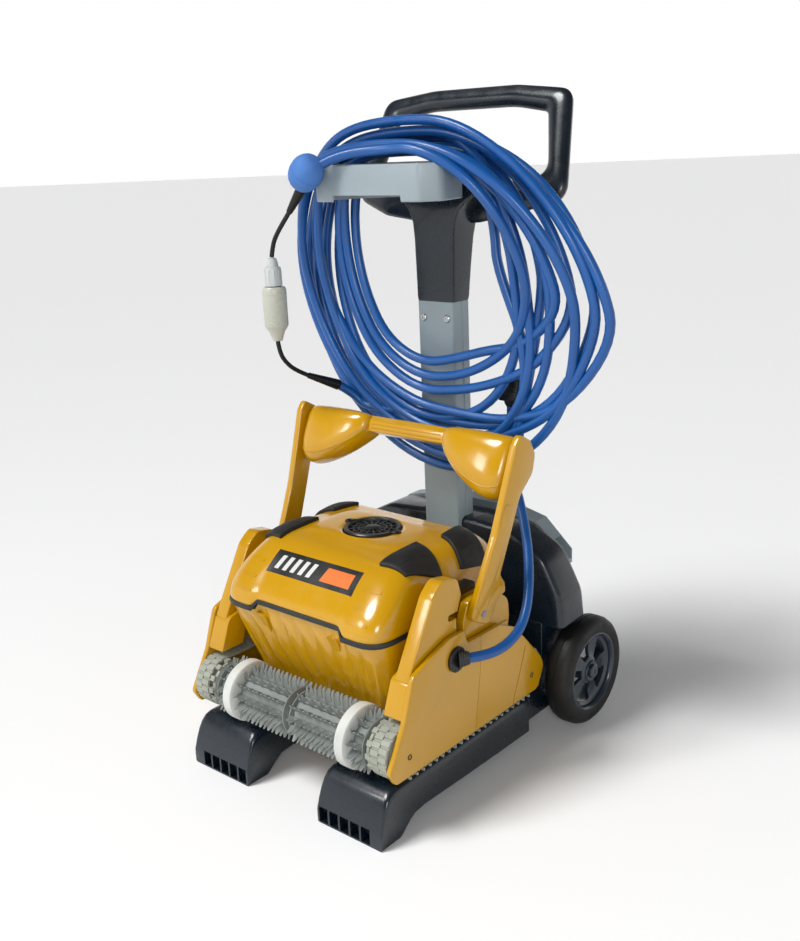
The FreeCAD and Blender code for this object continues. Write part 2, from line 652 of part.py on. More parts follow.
def brush(place, side):
    """Half of a brush roller with its blades, the white ring pressed on it, and the track's pulley."""
    sign = SIDES[side]
    label = f"{place}_{side}"
    bore = "brush_axle_radius + running_gap"
    roller = new_body(f"brush_{label}")
    core = circles(roller, "YZ_Plane", ("0", "0"), ["brush_core", bore], "brush_start")
    pad(roller, core, "brush_end - brush_start")
    blades = []
    for start, end in (("brush_start", "ring_inner - gap"), ("ring_outer + gap", "brush_end")):
        blade = rectangle(("-blade / 2", "blade / 2"), ("brush_core - 1", "brush_radius"))
        blades.append(pad(roller, outline(roller, "YZ_Plane", blade, start), f"{end} - ({start})"))
    repeat_round(roller, blades, "X_Axis", 12)
    ring = new_body(f"brush_ring_{label}")
    band = circles(ring, "YZ_Plane", ("0", "0"), ["ring_radius", "brush_core"], "ring_inner")
    pad(ring, band, "ring_outer - ring_inner")
    pulley = new_body(f"track_pulley_{label}")
    disc = circles(pulley, "YZ_Plane", ("0", "0"), ["pulley_radius", bore], "pulley_start")
    pad(pulley, disc, "track_end - pulley_start")
    for body in (roller, ring, pulley):
        body.Placement = Placement(Vector(), Rotation(Vector(0, 0, 1), 0 if sign > 0 else 180))
        body.setExpression("Placement.Base.y", bind(f"brush_{place}"))
        body.setExpression("Placement.Base.z", bind("brush_height"))


def brush_axles_and_supports():
    """The fixed shaft of each roller, and the hanger between its two halves."""
    centres = (("brush_front", "hull_low_front + 1"), ("brush_rear", "hull_low_rear - 1"))
    shafts = []
    hangers = []
    for y, hull_face in centres:
        shafts.append(rod("X", "brush_axle_radius", "-track_end", "track_end", (y, "brush_height")))
        eye = rod("X", "13", "-brush_start + 0.5", "brush_start - 0.5", (y, "brush_height"))
        span = (y, hull_face) if y == "brush_front" else (hull_face, y)
        arm = box(("-brush_start + 0.5", "brush_start - 0.5"), span, ("brush_height + 2", "brush_height + 13"))
        bore = rod("X", "brush_axle_radius", "-20", "20", (y, "brush_height"))
        hangers.append(cut(fuse(eye, arm), bore))
    node(group(*shafts), "brush_axles")
    tub = next(piece for piece in nodes if piece.Label == "lower_hull")
    node(cut(group(*hangers), tub), "centre_supports")


def panel_screws():
    """Four screws that hold the side panels to the brush shafts."""
    screws = []
    for y in ("brush_front", "brush_rear"):
        for spans in ((("track_end", "panel_outer"), ("panel_outer", "panel_outer + 2")),
                      (("-panel_outer", "-track_end"), ("-panel_outer - 2", "-panel_outer"))):
            shank = rod("X", "3", *spans[0], (y, "brush_height"))
            head = rod("X", "6", *spans[1], (y, "brush_height"))
            screws.append(fuse(shank, head))
    node(group(*screws), "panel_screws")


# ---- robot handle -----------------------------------------------------------------------------------------
def lean(body):
    """Stands a piece of the robot's handle on its pivot, leaned back to its rest stop."""
    body.Placement = Placement(Vector(), Rotation(Vector(1, 0, 0), -size("frame_lean")))
    body.setExpression("Placement.Base.y", bind("pivot_y"))
    body.setExpression("Placement.Base.z", bind("pivot_height"))


def handle_frame():
    """Two flat arms from the side pivots, joined by the grip bar."""
    body = new_body("handle_frame")
    for sign in ("", "-"):
        feet = []
        for height, shift, front, rear in (("-16", "0", "-arm_width / 2", "arm_width / 2"),
                                           ("arm_reach", "arm_splay", "-23", "17")):
            edges = (f"{sign}(arm_inner + {shift})", f"{sign}(arm_inner + {shift} + arm_thickness)")
            feet.append(outline(body, "XY_Plane", rectangle(edges, (front, rear)), height))
        loft(body, "AdditiveLoft", feet)
    grip = rectangle(("grip_front", "grip_rear"), ("grip_low", "grip_high"))
    pad(body, outline(body, "YZ_Plane", grip, "-arm_inner - arm_splay"), "2 * (arm_inner + arm_splay)")
    round_edges(body, 8, ALONG_X)
    bore = circles(body, "YZ_Plane", ("0", "0"), ["pivot_radius + running_gap"], "-260")
    pocket(body, bore, "520", True)
    lean(body)
    return body


def handle_float(side, bar):
    """A rounded buoyancy block on the grip, next to the arm."""
    block = doc.addObject("PartDesign::Body", "block")
    sign = "" if side == "right" else "-"
    profile = [
        (f"{sign}float_inner", "250"), (f"{sign}150", "192"), (f"{sign}200", "176"),
        (f"{sign}(arm_inner + 9)", "196"), (f"{sign}(arm_inner + 14)", "290"), (f"{sign}float_inner", "288"),
    ]
    corners = profile if side == "right" else profile[::-1]
    pad(block, outline(block, "XZ_Plane", corners, "-float_rear"), "float_rear - float_front")
    round_edges(block, 14, lambda edge: not ALONG_Y(edge) and edge.BoundBox.XLength > 60)
    lean(block)
    node(cut(block, bar), f"float_{side}")


def handle_pins():
    pins = [
        rod("X", "pivot_radius", *span, ("pivot_y", "pivot_height"))
        for span in (("204", "panel_outer + 3"), ("-panel_outer - 3", "-204"))
    ]
    node(group(*pins), "handle_pins")


def cable_gland():
    """The black bush where the cable enters the right-hand panel, its nose slanted towards the wheels."""
    across = ("gland_y", "gland_height")
    flange = rod("X", "21", "panel_outer", "panel_outer + 5", across)
    barrel = rod("X", "15", "panel_inner - 4", "panel_outer + 1", across)
    nose = doc.addObject("Part::Cone", "nose")
    nose.Radius1 = 15
    nose.Radius2 = size("cable_radius") + 2
    nose.Height = 16
    slant = Rotation(Vector(0, 0, 1), Vector(1, 1, 0))
    nose.Placement = Placement(Vector(size("panel_outer"), size("gland_y"), size("gland_height")), slant)
    solid_nose = cut(nose, box(("panel_outer - 20", "panel_outer"), ("gland_y - 30", "gland_y + 30"),
                              ("gland_height - 30", "gland_height + 30")))
    node(fuse(flange, solid_nose, barrel), "cable_gland")


# ---- cable ------------------------------------------------------------------------------------------------
LEAD = [
    (243.5, -123.5, 256), (260, -101, 256), (273, -68, 260), (277, -28, 274), (270, 5, 300), (256, 33, 336),
    (238, 58, 375), (217, 79, 414), (195, 95, 453), (174, 104, 492),
]
UPPER_TAIL = [(-158, -58, 935), (-180, -54, 916), (-200, -50, 898), (-214, -48, 880), (-219, -48, 858.5)]
LOWER_TAIL = [(-219, -48, 712), (-222, -43, 690), (-221, -29, 668), (-217, -9, 651), (-211, 14, 639)]
SLEEVES = [((-117, -61, 979), (-158, -58, 935)), ((-211, 14, 639), (-190, 70, 613))]


def rounded_route(points, radius_of_tube, label):
    """A wire of straight runs joined by tangent arcs, each as large as its two runs allow."""
    corners = [Vector(*point) for point in points]
    runs = [(b - a).Length for a, b in zip(corners, corners[1:])]
    edges = []
    here = corners[0]
    radii = []
    for n in range(1, len(corners) - 1):
        before = (corners[n - 1] - corners[n]).normalize()
        after = (corners[n + 1] - corners[n]).normalize()
        turn = math.pi - before.getAngle(after)
        setback = 0.45 * min(runs[n - 1], runs[n])
        radii.append(setback / math.tan(turn / 2))
        first = corners[n] + before * setback
        last = corners[n] + after * setback
        inward = (before + after).normalize()
        to_centre = setback / math.sin(turn / 2)
        middle = corners[n] + inward * (to_centre - radii[-1])
        edges.append(Part.LineSegment(here, first).toShape())
        edges.append(Part.Arc(first, middle, last).toShape())
        here = last
    edges.append(Part.LineSegment(here, corners[-1]).toShape())
    wire = Part.Wire(edges)
    if radii:
        smallest = min(radii) / (2 * radius_of_tube)
        rounded = [round(radius) for radius in radii]
        print(f"{label}: length {wire.Length:.0f}, radii {rounded}, smallest {smallest:.1f} diameters")
    return wire


def tube(label, points, radius):
    """A cord's plain round solid along its route."""
    wire = rounded_route(points, radius, label)
    start = Vector(*points[0])
    heading = Vector(*points[1]) - start
    section = Part.Wire(Part.Circle(start, heading, radius).toShape())
    solid = wire.makePipeShell([section], True, False)
    ideal = math.pi * radius ** 2 * wire.Length
    print(f"{label}: volume over section times length {solid.Volume / ideal:.4f}")
    piece = doc.addObject("Part::Feature", "cord")
    piece.Shape = solid
    node(piece, label)


def cable_coil():
    """The outer shape of the hung turns: a wide ring over the hook, squeezed towards the mast at its foot."""
    rim = [
        (20, 1068), (-150, 1052), (-262, 960), (-296, 800), (-262, 610), (-140, 468), (40, 424), (220, 446),
        (336, 560), (390, 740), (350, 920), (210, 1042),
    ]
    eye = [
        (0, 1012), (-140, 1012), (-206, 900), (-190, 770), (-90, 690), (40, 676), (150, 740), (190, 860),
        (142, 1012),
    ]

    def ring(points, reach):
        curve = Part.BSplineCurve()
        curve.interpolate([Vector(x, -60, z) for x, z in points], PeriodicFlag=True)
        return Part.Face(Part.Wire(curve.toShape())).extrude(Vector(0, reach, 0))

    front = size("coil_front")
    rear = size("coil_rear")
    outer = ring(rim, 240)
    flat_eye = Part.makePolygon([Vector(x, -60, z) for x, z in eye + eye[:1]])
    inner = Part.Face(flat_eye).extrude(Vector(0, 240, 0))
    low_front = size("coil_low_front")
    side = [
        (rear, 400), (rear, 1080), (front, 1080), (front, 965), (68, 650), (68, 606), (low_front, 600),
        (low_front, 400),
    ]
    wedge = Part.Face(Part.makePolygon([Vector(-400, y, z) for y, z in side + side[:1]]))
    piece = doc.addObject("Part::Feature", "coil")
    piece.Shape = outer.cut(inner).common(wedge.extrude(Vector(900, 0, 0))).Solids[0]
    node(piece, "cable_coil")


def cable_fittings():
    """On the cable: its ball float, the swivel in two halves, the tapered sleeves and the supply plug."""
    ball = doc.addObject("Part::Sphere", "ball")
    ball.setExpression("Radius", bind("ball_radius"))
    ball.Placement.Base = Vector(-100, -70.5, 998)
    node(ball, "ball_float")
    centre = ("swivel_x", "swivel_y")
    node(rod("Z", "swivel_radius", "swivel_low", "swivel_joint", centre), "swivel_body")
    node(rod("Z", "swivel_radius - 6", "swivel_joint + gap", "swivel_top", centre), "swivel_cap")
    sleeves = []
    for start, end in SLEEVES:
        heading = Vector(*end) - Vector(*start)
        cone = doc.addObject("Part::Cone", "sleeve")
        thick_first = start[2] > 700
        wide = size("cable_radius") + 1.5
        narrow = size("tail_radius") + 1
        cone.Radius1 = wide if thick_first else narrow
        cone.Radius2 = narrow if thick_first else wide
        cone.Height = heading.Length
        cone.Placement = Placement(Vector(*start), Rotation(Vector(0, 0, 1), heading))
        sleeves.append(cone)
    node(group(*sleeves), "cable_sleeves")
    block = box(("130", "178"), ("coil_rear + 1", "coil_rear + 27"), ("600", "650"))
    node(block, "plug")


def build():
    for side in SIDES:
        fork(side)
        wheel(side)
    base_arch()
    rear_channel()
    column()
    column_screws()
    neck()
    trolley_handle()
    hook_tray()
    axle_and_caps()
    lower_hull()
    lid_gasket()
    lid()
    lid_hinge_pin()
    corner_pads()
    outlet_grille()
    impeller()
    drive_unit()
    brush_axles_and_supports()
    panel_screws()
    for side in SIDES:
        filter_basket(side)
        side_panel(side)
        track(side)
        for place in ("front", "rear"):
            brush(place, side)
    bar = handle_frame()
    for side in SIDES:
        handle_float(side, bar)
    handle_pins()
    cable_gland()
    tube("cable_lead", LEAD, size("cable_radius"))
    tube("tail_upper", UPPER_TAIL, size("tail_radius"))
    tube("tail_lower", LOWER_TAIL, size("tail_radius"))
    cable_coil()
    cable_fittings()


def export():
    """Checks every object, then writes each sub-part's STEP file."""
    doc.recompute()
    failed = [item.Label for item in doc.Objects if {"Invalid", "Error"} & set(item.State)]
    for piece in nodes:
        if piece.Shape.isNull() or not piece.Shape.isValid() or not piece.Shape.Solids:
            failed.append(piece.Label)
    if failed:
        raise RuntimeError(f"these failed: {failed}")
    os.makedirs("parts", exist_ok=True)
    for piece in nodes:
        piece.Shape.exportStep(f"parts/{piece.Label}.step")
    print(f"{len(nodes)} sub-parts")


build()
export()
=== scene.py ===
"""Looks of a robotic pool cleaner on its trolley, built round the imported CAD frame.

Lengths in outlines are millimetres.
"""
import json
import math

import bmesh
import bpy
from mathutils import Matrix, Vector
from mathutils.bvhtree import BVHTree


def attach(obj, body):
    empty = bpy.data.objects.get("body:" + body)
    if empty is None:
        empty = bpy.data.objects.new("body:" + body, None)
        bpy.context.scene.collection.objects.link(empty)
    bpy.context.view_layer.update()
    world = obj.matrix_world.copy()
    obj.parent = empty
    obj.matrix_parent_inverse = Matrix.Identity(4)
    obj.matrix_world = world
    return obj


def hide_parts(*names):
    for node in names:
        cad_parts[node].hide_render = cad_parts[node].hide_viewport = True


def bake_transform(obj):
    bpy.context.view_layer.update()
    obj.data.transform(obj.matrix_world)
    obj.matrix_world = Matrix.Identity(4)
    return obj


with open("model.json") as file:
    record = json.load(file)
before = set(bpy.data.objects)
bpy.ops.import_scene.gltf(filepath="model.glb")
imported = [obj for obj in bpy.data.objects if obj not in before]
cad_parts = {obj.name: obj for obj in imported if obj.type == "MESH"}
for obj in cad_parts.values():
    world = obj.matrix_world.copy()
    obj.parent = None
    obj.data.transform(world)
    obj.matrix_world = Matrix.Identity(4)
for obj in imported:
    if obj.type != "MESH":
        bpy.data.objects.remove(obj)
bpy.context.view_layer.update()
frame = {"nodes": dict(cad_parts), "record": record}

MM = 0.001
SIDES = {"left": -1, "right": 1}
NODE_SLOTS = {part["node"]: part["material_slot"] for part in frame["record"]["subparts"]}
NODE_BODIES = {node: body for body, nodes in frame["record"]["behaviour"]["bodies"].items() for node in nodes}


def mm(x, y, z):
    """A point given in millimetres."""
    return Vector((x * MM, y * MM, z * MM))


def angles(count):
    """Angles that divide a full turn evenly."""
    return [2 * math.pi * n / count for n in range(count)]


def show(name, data):
    """A new object in the scene."""
    thing = bpy.data.objects.new(name, data)
    bpy.context.scene.collection.objects.link(thing)
    return thing


# ---- camera -----------------------------------------------------------------------------------------------
EYE = (1.1992, -1.3702, 1.0323)
AHEAD = (-0.62769, 0.72503, -0.28344)
ROLL = math.radians(-2.41)
LENS = 41.85
SENSOR = 36


def camera():
    data = bpy.data.cameras.new("camera")
    data.lens = LENS
    data.sensor_width = SENSOR
    data.clip_end = 50
    eye = show("camera", data)
    eye.location = EYE
    level = Vector(AHEAD).to_track_quat("-Z", "Y").to_matrix()
    eye.rotation_euler = (level @ Matrix.Rotation(ROLL, 3, "Z")).to_euler()
    bpy.context.scene.camera = eye


# ---- materials --------------------------------------------------------------------------------------------
def new_material(name, color, rough, **inputs):
    """A Principled material and its node tree."""
    made = bpy.data.materials.new(name)
    made.use_nodes = True
    shader = made.node_tree.nodes["Principled BSDF"]
    shader.inputs["Base Color"].default_value = (*color, 1)
    shader.inputs["Roughness"].default_value = rough
    for key, value in inputs.items():
        shader.inputs[key.replace("_", " ")].default_value = value
    return made, made.node_tree, shader


def noise(tree, scale, detail=3.0, stretch=(1, 1, 1)):
    """A noise texture in the object's own metres."""
    nodes, links = tree.nodes, tree.links
    place = nodes.new("ShaderNodeTexCoord")
    grid = nodes.new("ShaderNodeMapping")
    grid.inputs["Scale"].default_value = stretch
    cloud = nodes.new("ShaderNodeTexNoise")
    cloud.inputs["Scale"].default_value = scale
    cloud.inputs["Detail"].default_value = detail
    links.new(place.outputs["Object"], grid.inputs["Vector"])
    links.new(grid.outputs["Vector"], cloud.inputs["Vector"])
    return cloud.outputs["Fac"]


def vary_color(tree, shader, color, other, fac, low=0.35, high=0.7):
    """Mixes two tones of the base colour by a noise."""
    ramp = tree.nodes.new("ShaderNodeValToRGB")
    ramp.color_ramp.elements[0].position = low
    ramp.color_ramp.elements[0].color = (*color, 1)
    ramp.color_ramp.elements[1].position = high
    ramp.color_ramp.elements[1].color = (*other, 1)
    tree.links.new(fac, ramp.inputs["Fac"])
    tree.links.new(ramp.outputs["Color"], shader.inputs["Base Color"])


def remap(tree, source, target, before, after):
    """Links one socket to another through a clamped change of range."""
    node = tree.nodes.new("ShaderNodeMapRange")
    for label, value in zip(("From Min", "From Max", "To Min", "To Max"), (*before, *after)):
        node.inputs[label].default_value = value
    tree.links.new(source, node.inputs["Value"])
    tree.links.new(node.outputs["Result"], target)


def vary_rough(tree, shader, fac, low, high):
    """Lets the roughness drift between two values by a noise."""
    remap(tree, fac, shader.inputs["Roughness"], (0.3, 0.75), (low, high))


def bump(tree, shader, fac, height, distance):
    """Adds a bump to those that the shader has."""
    node = tree.nodes.new("ShaderNodeBump")
    node.inputs["Strength"].default_value = height
    node.inputs["Distance"].default_value = distance
    before = shader.inputs["Normal"].links
    if before:
        tree.links.new(before[0].from_socket, node.inputs["Normal"])
    tree.links.new(fac, node.inputs["Height"])
    tree.links.new(node.outputs["Normal"], shader.inputs["Normal"])


def plastic(name, color, other, rough, peel=0.12, coat=0.0, grain=0.05):
    """Moulded plastic: faint colour drift, an orange peel, fine grain, and patches that are rubbed duller."""
    made, tree, shader = new_material(name, color, rough, Coat_Weight=coat, Coat_Roughness=0.06, IOR=1.5)
    vary_color(tree, shader, color, other, noise(tree, 7, 4))
    vary_rough(tree, shader, noise(tree, 38, 6), rough * 0.8, rough * 1.35)
    bump(tree, shader, noise(tree, 190, 2), peel, 0.0004)
    bump(tree, shader, noise(tree, 1500, 2), grain, 0.0002)
    return made


def rubber(name, color, other, rough=0.6, grain=0.3):
    """Rubber or foam: matt, dusty in patches, with a fine grain."""
    made, tree, shader = new_material(name, color, rough, Specular_IOR_Level=0.35)
    vary_color(tree, shader, color, other, noise(tree, 22, 6), 0.4, 0.72)
    vary_rough(tree, shader, noise(tree, 60, 4), rough * 0.85, min(1.0, rough * 1.2))
    bump(tree, shader, noise(tree, 1200, 3), grain, 0.0003)
    return made


def steel(name):
    """Brushed steel."""
    made, tree, shader = new_material(name, (0.5, 0.5, 0.51), 0.28, Metallic=1.0)
    vary_rough(tree, shader, noise(tree, 300, 3, (1, 8, 8)), 0.2, 0.42)
    bump(tree, shader, noise(tree, 900, 2, (1, 12, 12)), 0.1, 0.0002)
    return made


YELLOW = plastic("yellow_plastic", (0.53, 0.275, 0.0002), (0.48, 0.245, 0.0001), 0.2, 0.12, 0.35)
DARK = plastic("dark_plastic", (0.0042, 0.0098, 0.0165), (0.0033, 0.0078, 0.0135), 0.27, 0.12, 0.2)
RIM = plastic("rim_plastic", (0.018, 0.030, 0.042), (0.014, 0.024, 0.034), 0.28, 0.12, 0.3)
GREY = plastic("grey_plastic", (0.27, 0.325, 0.35), (0.24, 0.29, 0.315), 0.4, 0.15)
BLACK = plastic("black_plastic", (0.006, 0.0065, 0.0065), (0.010, 0.010, 0.0095), 0.35, 0.15)
PAD = rubber("pad_rubber", (0.010, 0.0098, 0.0092), (0.017, 0.0165, 0.0155), 0.55)
SEAL = rubber("seal_rubber", (0.016, 0.020, 0.021), (0.026, 0.030, 0.030), 0.5)
TYRE = rubber("tyre_rubber", (0.0055, 0.0058, 0.0055), (0.0095, 0.009, 0.008), 0.55)
CABLE = plastic("blue_cable", (0.003, 0.082, 0.31), (0.002, 0.064, 0.25), 0.34, 0.1, 0.1)
FOAM = rubber("blue_foam", (0.065, 0.185, 0.50), (0.052, 0.155, 0.43), 0.7, 0.5)
LEAD_BLACK = rubber("black_lead", (0.004, 0.004, 0.0045), (0.008, 0.008, 0.008), 0.4, 0.15)
BRUSH = rubber("brush_rubber", (0.25, 0.27, 0.255), (0.19, 0.21, 0.20), 0.55, 0.2)
TRACK = rubber("track_rubber", (0.33, 0.345, 0.29), (0.25, 0.26, 0.22), 0.55, 0.2)
RING = rubber("ring_foam", (0.60, 0.61, 0.58), (0.52, 0.53, 0.50), 0.85, 0.6)
CREAM = plastic("cream_plastic", (0.48, 0.49, 0.42), (0.43, 0.44, 0.37), 0.3, 0.1)
CAP = plastic("pale_plastic", (0.50, 0.53, 0.52), (0.44, 0.47, 0.46), 0.35, 0.1)
MOTOR = plastic("motor_plastic", (0.08, 0.085, 0.09), (0.065, 0.07, 0.075), 0.45, 0.2)
BASKET = plastic("basket_plastic", (0.2, 0.215, 0.23), (0.17, 0.18, 0.195), 0.5, 0.2)
LABEL_WHITE = plastic("label_white", (0.62, 0.62, 0.60), (0.55, 0.55, 0.53), 0.4, 0.05)
LABEL_ORANGE = plastic("label_orange", (0.70, 0.15, 0.006), (0.64, 0.13, 0.005), 0.4, 0.05)
STEEL = steel("stainless_steel")


# ---- mesh tools -------------------------------------------------------------------------------------------
def soften(bm, width, segments=3, degrees=28):
    """Rounds a closed mesh's sharp edges, width in millimetres."""
    limit = math.radians(degrees)
    sharp = [edge for edge in bm.edges if len(edge.link_faces) == 2 and edge.calc_face_angle(0) > limit]
    bmesh.ops.bevel(bm, geom=sharp, offset=width * MM, offset_type="OFFSET", segments=segments, profile=0.5,
                    affect="EDGES", clamp_overlap=True)


def as_mesh(bm, name="part"):
    """The mesh that a bmesh holds, which is used up."""
    mesh = bpy.data.meshes.new(name)
    bm.to_mesh(mesh)
    bm.free()
    return mesh


def add_piece(name, bm, material, body, smooth=38, subdivide=0):
    """Turns a bmesh into a piece that rides on a body."""
    bmesh.ops.remove_doubles(bm, verts=bm.verts, dist=1e-6)
    bmesh.ops.recalc_face_normals(bm, faces=bm.faces)
    mesh = as_mesh(bm, name)
    mesh.materials.append(material)
    for face in mesh.polygons:
        face.use_smooth = True
    mesh.set_sharp_from_angle(angle=math.radians(smooth))
    piece = show(name, mesh)
    if subdivide:
        rounder = piece.modifiers.new("rounder", "SUBSURF")
        rounder.levels = rounder.render_levels = subdivide
    if body:
        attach(piece, body)
    return piece


def stand_in(node, bm, material, smooth=38, subdivide=0, name=None):
    """A piece in the place of a CAD node, on the node's body."""
    body, slot = NODE_BODIES[node], NODE_SLOTS[node]
    piece = add_piece(name or f"{node}_visual", bm, material, body, smooth, subdivide)
    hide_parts(node)
    return piece


def loft(rings, closed=True, caps=True, bm=None):
    """Faces between rings of points in metres."""
    bm = bm or bmesh.new()
    rows = [[bm.verts.new(point) for point in ring] for ring in rings]
    count = len(rows[0])
    span = count if closed else count - 1
    for low, high in zip(rows, rows[1:]):
        for n in range(span):
            bm.faces.new((low[n], low[(n + 1) % count], high[(n + 1) % count], high[n]))
    if caps:
        bm.faces.new(rows[0][::-1])
        bm.faces.new(rows[-1])
    return bm


def prism(outline, axis, low, high, bm=None):
    """A flat outline in the two other axes, in their order, drawn out along an axis."""
    place = {"X": lambda a, b, c: mm(c, a, b), "Y": lambda a, b, c: mm(a, c, b), "Z": mm}[axis]
    return loft([[place(a, b, end) for a, b in outline] for end in (low, high)], bm=bm)


def arc_corners(points, radius, steps=5):
    """An outline with each corner replaced by an arc. A point may carry its own radius as a third number."""
    made = []
    count = len(points)
    for n, point in enumerate(points):
        corner = Vector(point[:2])
        reach = point[2] if len(point) > 2 else radius
        before = (Vector(points[n - 1][:2]) - corner)
        after = (Vector(points[(n + 1) % count][:2]) - corner)
        half_turn = before.angle(after) / 2
        setback = min(reach / math.tan(half_turn), 0.48 * before.length, 0.48 * after.length)
        if reach <= 0 or abs(half_turn - math.pi / 2) < 0.02:
            made.append(tuple(corner))
            continue
        start, end = corner + before.normalized() * setback, corner + after.normalized() * setback
        for step in range(steps + 1):
            t = step / steps
            made.append(tuple(start * (1 - t) ** 2 + corner * 2 * t * (1 - t) + end * t ** 2))
    return made


def mirrored(points):
    """An outline's points and their mirror images, in order round it."""
    return points + [(-x, *rest) for x, *rest in reversed(points)]


def ring_points(axis, centre, radius, count):
    """Points of a circle round an axis, in metres, from millimetres."""
    made = []
    for turn in angles(count):
        a, b = radius * math.cos(turn), radius * math.sin(turn)
        offset = {"X": (0, a, b), "Y": (b, 0, a), "Z": (a, b, 0)}[axis]
        made.append(mm(*(c + o for c, o in zip(centre, offset))))
    return made


def turned(axis, centre, profile, count=48, bm=None, caps=True):
    """A round body: profile lists (distance along the axis, radius)."""
    step = {"X": (1, 0, 0), "Y": (0, 1, 0), "Z": (0, 0, 1)}[axis]
    rings = []
    for along, radius in profile:
        middle = [c + along * s for c, s in zip(centre, step)]
        rings.append(ring_points(axis, middle, radius, count))
    return loft(rings, caps=caps, bm=bm)


def block(low, high, bm):
    """Adds a box to a mesh."""
    (x0, y0, z0), (x1, y1, z1) = low, high
    prism([(x0, y0), (x1, y0), (x1, y1), (x0, y1)], "Z", z0, z1, bm)


def turn_new(bm, before, turn, place):
    """Turns and shifts the vertices that a mesh has gained since before."""
    for vert in set(bm.verts) - before:
        vert.co = turn @ vert.co + place


def merge(target, part):
    """Adds one mesh's faces to another's."""
    mesh = as_mesh(part)
    target.from_mesh(mesh)
    bpy.data.meshes.remove(mesh)


def slab(outline, axis, low, high, width, segments=3, degrees=28):
    """A prism with its sharp edges rounded."""
    bm = prism(outline, axis, low, high)
    bmesh.ops.recalc_face_normals(bm, faces=bm.faces)
    soften(bm, width, segments, degrees)
    return bm


def carved(bm, tool):
    """One closed mesh less another."""
    pair = []
    for part in (bm, tool):
        bmesh.ops.recalc_face_normals(part, faces=part.faces)
        pair.append(show("part", as_mesh(part)))
    cutter = pair[0].modifiers.new("cut", "BOOLEAN")
    cutter.operation = "DIFFERENCE"
    cutter.solver = "EXACT"
    cutter.object = pair[1]
    rest = bmesh.new()
    rest.from_mesh(pair[0].evaluated_get(bpy.context.evaluated_depsgraph_get()).to_mesh())
    for thing in pair:
        mesh = thing.data
        bpy.data.objects.remove(thing)
        bpy.data.meshes.remove(mesh)
    return rest


def rounded_box(low, high, radius, steps=4):
    """Points of a rectangle with round corners in a plane, in millimetres."""
    (a0, b0), (a1, b1) = low, high
    return arc_corners([(a0, b0), (a1, b0), (a1, b1), (a0, b1)], radius, steps)


def flipped(bm, sign):
    """The mesh as it is for the right side, or its mirror image for the left."""
    if sign < 0:
        for vert in bm.verts:
            vert.co.x = -vert.co.x
        bmesh.ops.reverse_faces(bm, faces=bm.faces)
    return bm


def frames_along(path):
    """A steady pair of cross directions at each point of a path."""
    tangents = []
    for n in range(len(path)):
        tangents.append((path[min(n + 1, len(path) - 1)] - path[max(n - 1, 0)]).normalized())
    side = tangents[0].orthogonal().normalized()
    pairs = []
    for tangent in tangents:
        side = (side - tangent * side.dot(tangent)).normalized()
        pairs.append((side, tangent.cross(side)))
    return pairs


def tube_mesh(path, radius, sides=12):
    """A tube along a path. The radius is one number, or a list of one for each point."""
    radii = radius if isinstance(radius, list) else [radius] * len(path)
    rings = []
    for point, (a, b), reach in zip(path, frames_along(path), radii):
        rings.append([point + (a * math.cos(t) + b * math.sin(t)) * reach for t in angles(sides)])
    return loft(rings)


# ---- cables -----------------------------------------------------------------------------------------------
CABLE_RADIUS = 8.2 * MM
LEAD_RADIUS = 4.0 * MM
LEAD = [
    (243.5, -123.5, 256), (260, -101, 256), (273, -68, 260), (277, -28, 274), (270, 5, 300), (256, 33, 336),
    (238, 58, 375), (217, 79, 414), (195, 95, 453), (174, 104, 492),
]
UPPER_TAIL = [(-158, -58, 935), (-180, -54, 916), (-200, -50, 898), (-214, -48, 880), (-219, -48, 858.5)]
LOWER_TAIL = [(-219, -48, 712), (-222, -43, 690), (-221, -29, 668), (-217, -9, 651), (-211, 14, 639)]
# Stations round the hung coil, anticlockwise from its right side: inner (x, z), outer (x, z), share of the
# top lane.
STATIONS = [
    ((160, 840), (371, 735), 0.15), ((156, 890), (358, 820), 0.35), ((142, 948), (312, 905), 0.6),
    ((118, 996), (232, 982), 0.85), ((70, 1019), (120, 1034), 1.0), ((0, 1020), (10, 1040), 1.0),
    ((-78, 1018), (-100, 1030), 1.0), ((-128, 1000), (-172, 1004), 0.9), ((-148, 940), (-240, 945), 0.65),
    ((-146, 860), (-286, 840), 0.4), ((-124, 780), (-272, 715), 0.2), ((-80, 706), (-205, 585), 0.05),
    ((0, 668), (-70, 492), 0.0), ((80, 692), (70, 462), 0.0), ((128, 742), (200, 470), 0.0),
    ((152, 790), (318, 570), 0.05),
]
# One turn each: share of the way outwards at the right, left and bottom, lane on the hook, height.
TURNS = [
    (0.40, 0.34, 0.56, 96, 4), (0.17, 0.20, 0.28, 62, 2), (0.66, 0.56, 0.70, 82, 18),
    (0.50, 0.64, 0.42, 32, 2), (1.00, 0.82, 1.00, 52, 20), (0.00, 0.02, 0.00, 99, 16),
    (0.58, 0.44, 0.63, 12, 4), (0.88, 1.00, 0.86, 38, 36), (0.74, 0.74, 0.78, -8, 4),
    (0.27, 0.10, 0.14, 68, 34), (0.34, 0.50, 0.49, -24, 6),
]


def nurbs(points, name="route"):
    """A smooth curve of order 3 with these control points, in millimetres."""
    data = bpy.data.curves.new(name, "CURVE")
    data.dimensions = "3D"
    data.resolution_u = 6
    spline = data.splines.new("NURBS")
    spline.points.add(len(points) - 1)
    for target, point in zip(spline.points, points):
        target.co = (*mm(*point), 1)
    spline.order_u = 3
    spline.use_endpoint_u = True
    return data


def route_line(points):
    """The points of that curve, in metres."""
    curve = show("route", nurbs(points))
    mesh = bpy.data.meshes.new_from_object(curve)
    line = [vertex.co.copy() for vertex in mesh.vertices]
    bpy.data.objects.remove(curve)
    bpy.data.meshes.remove(mesh)
    return line


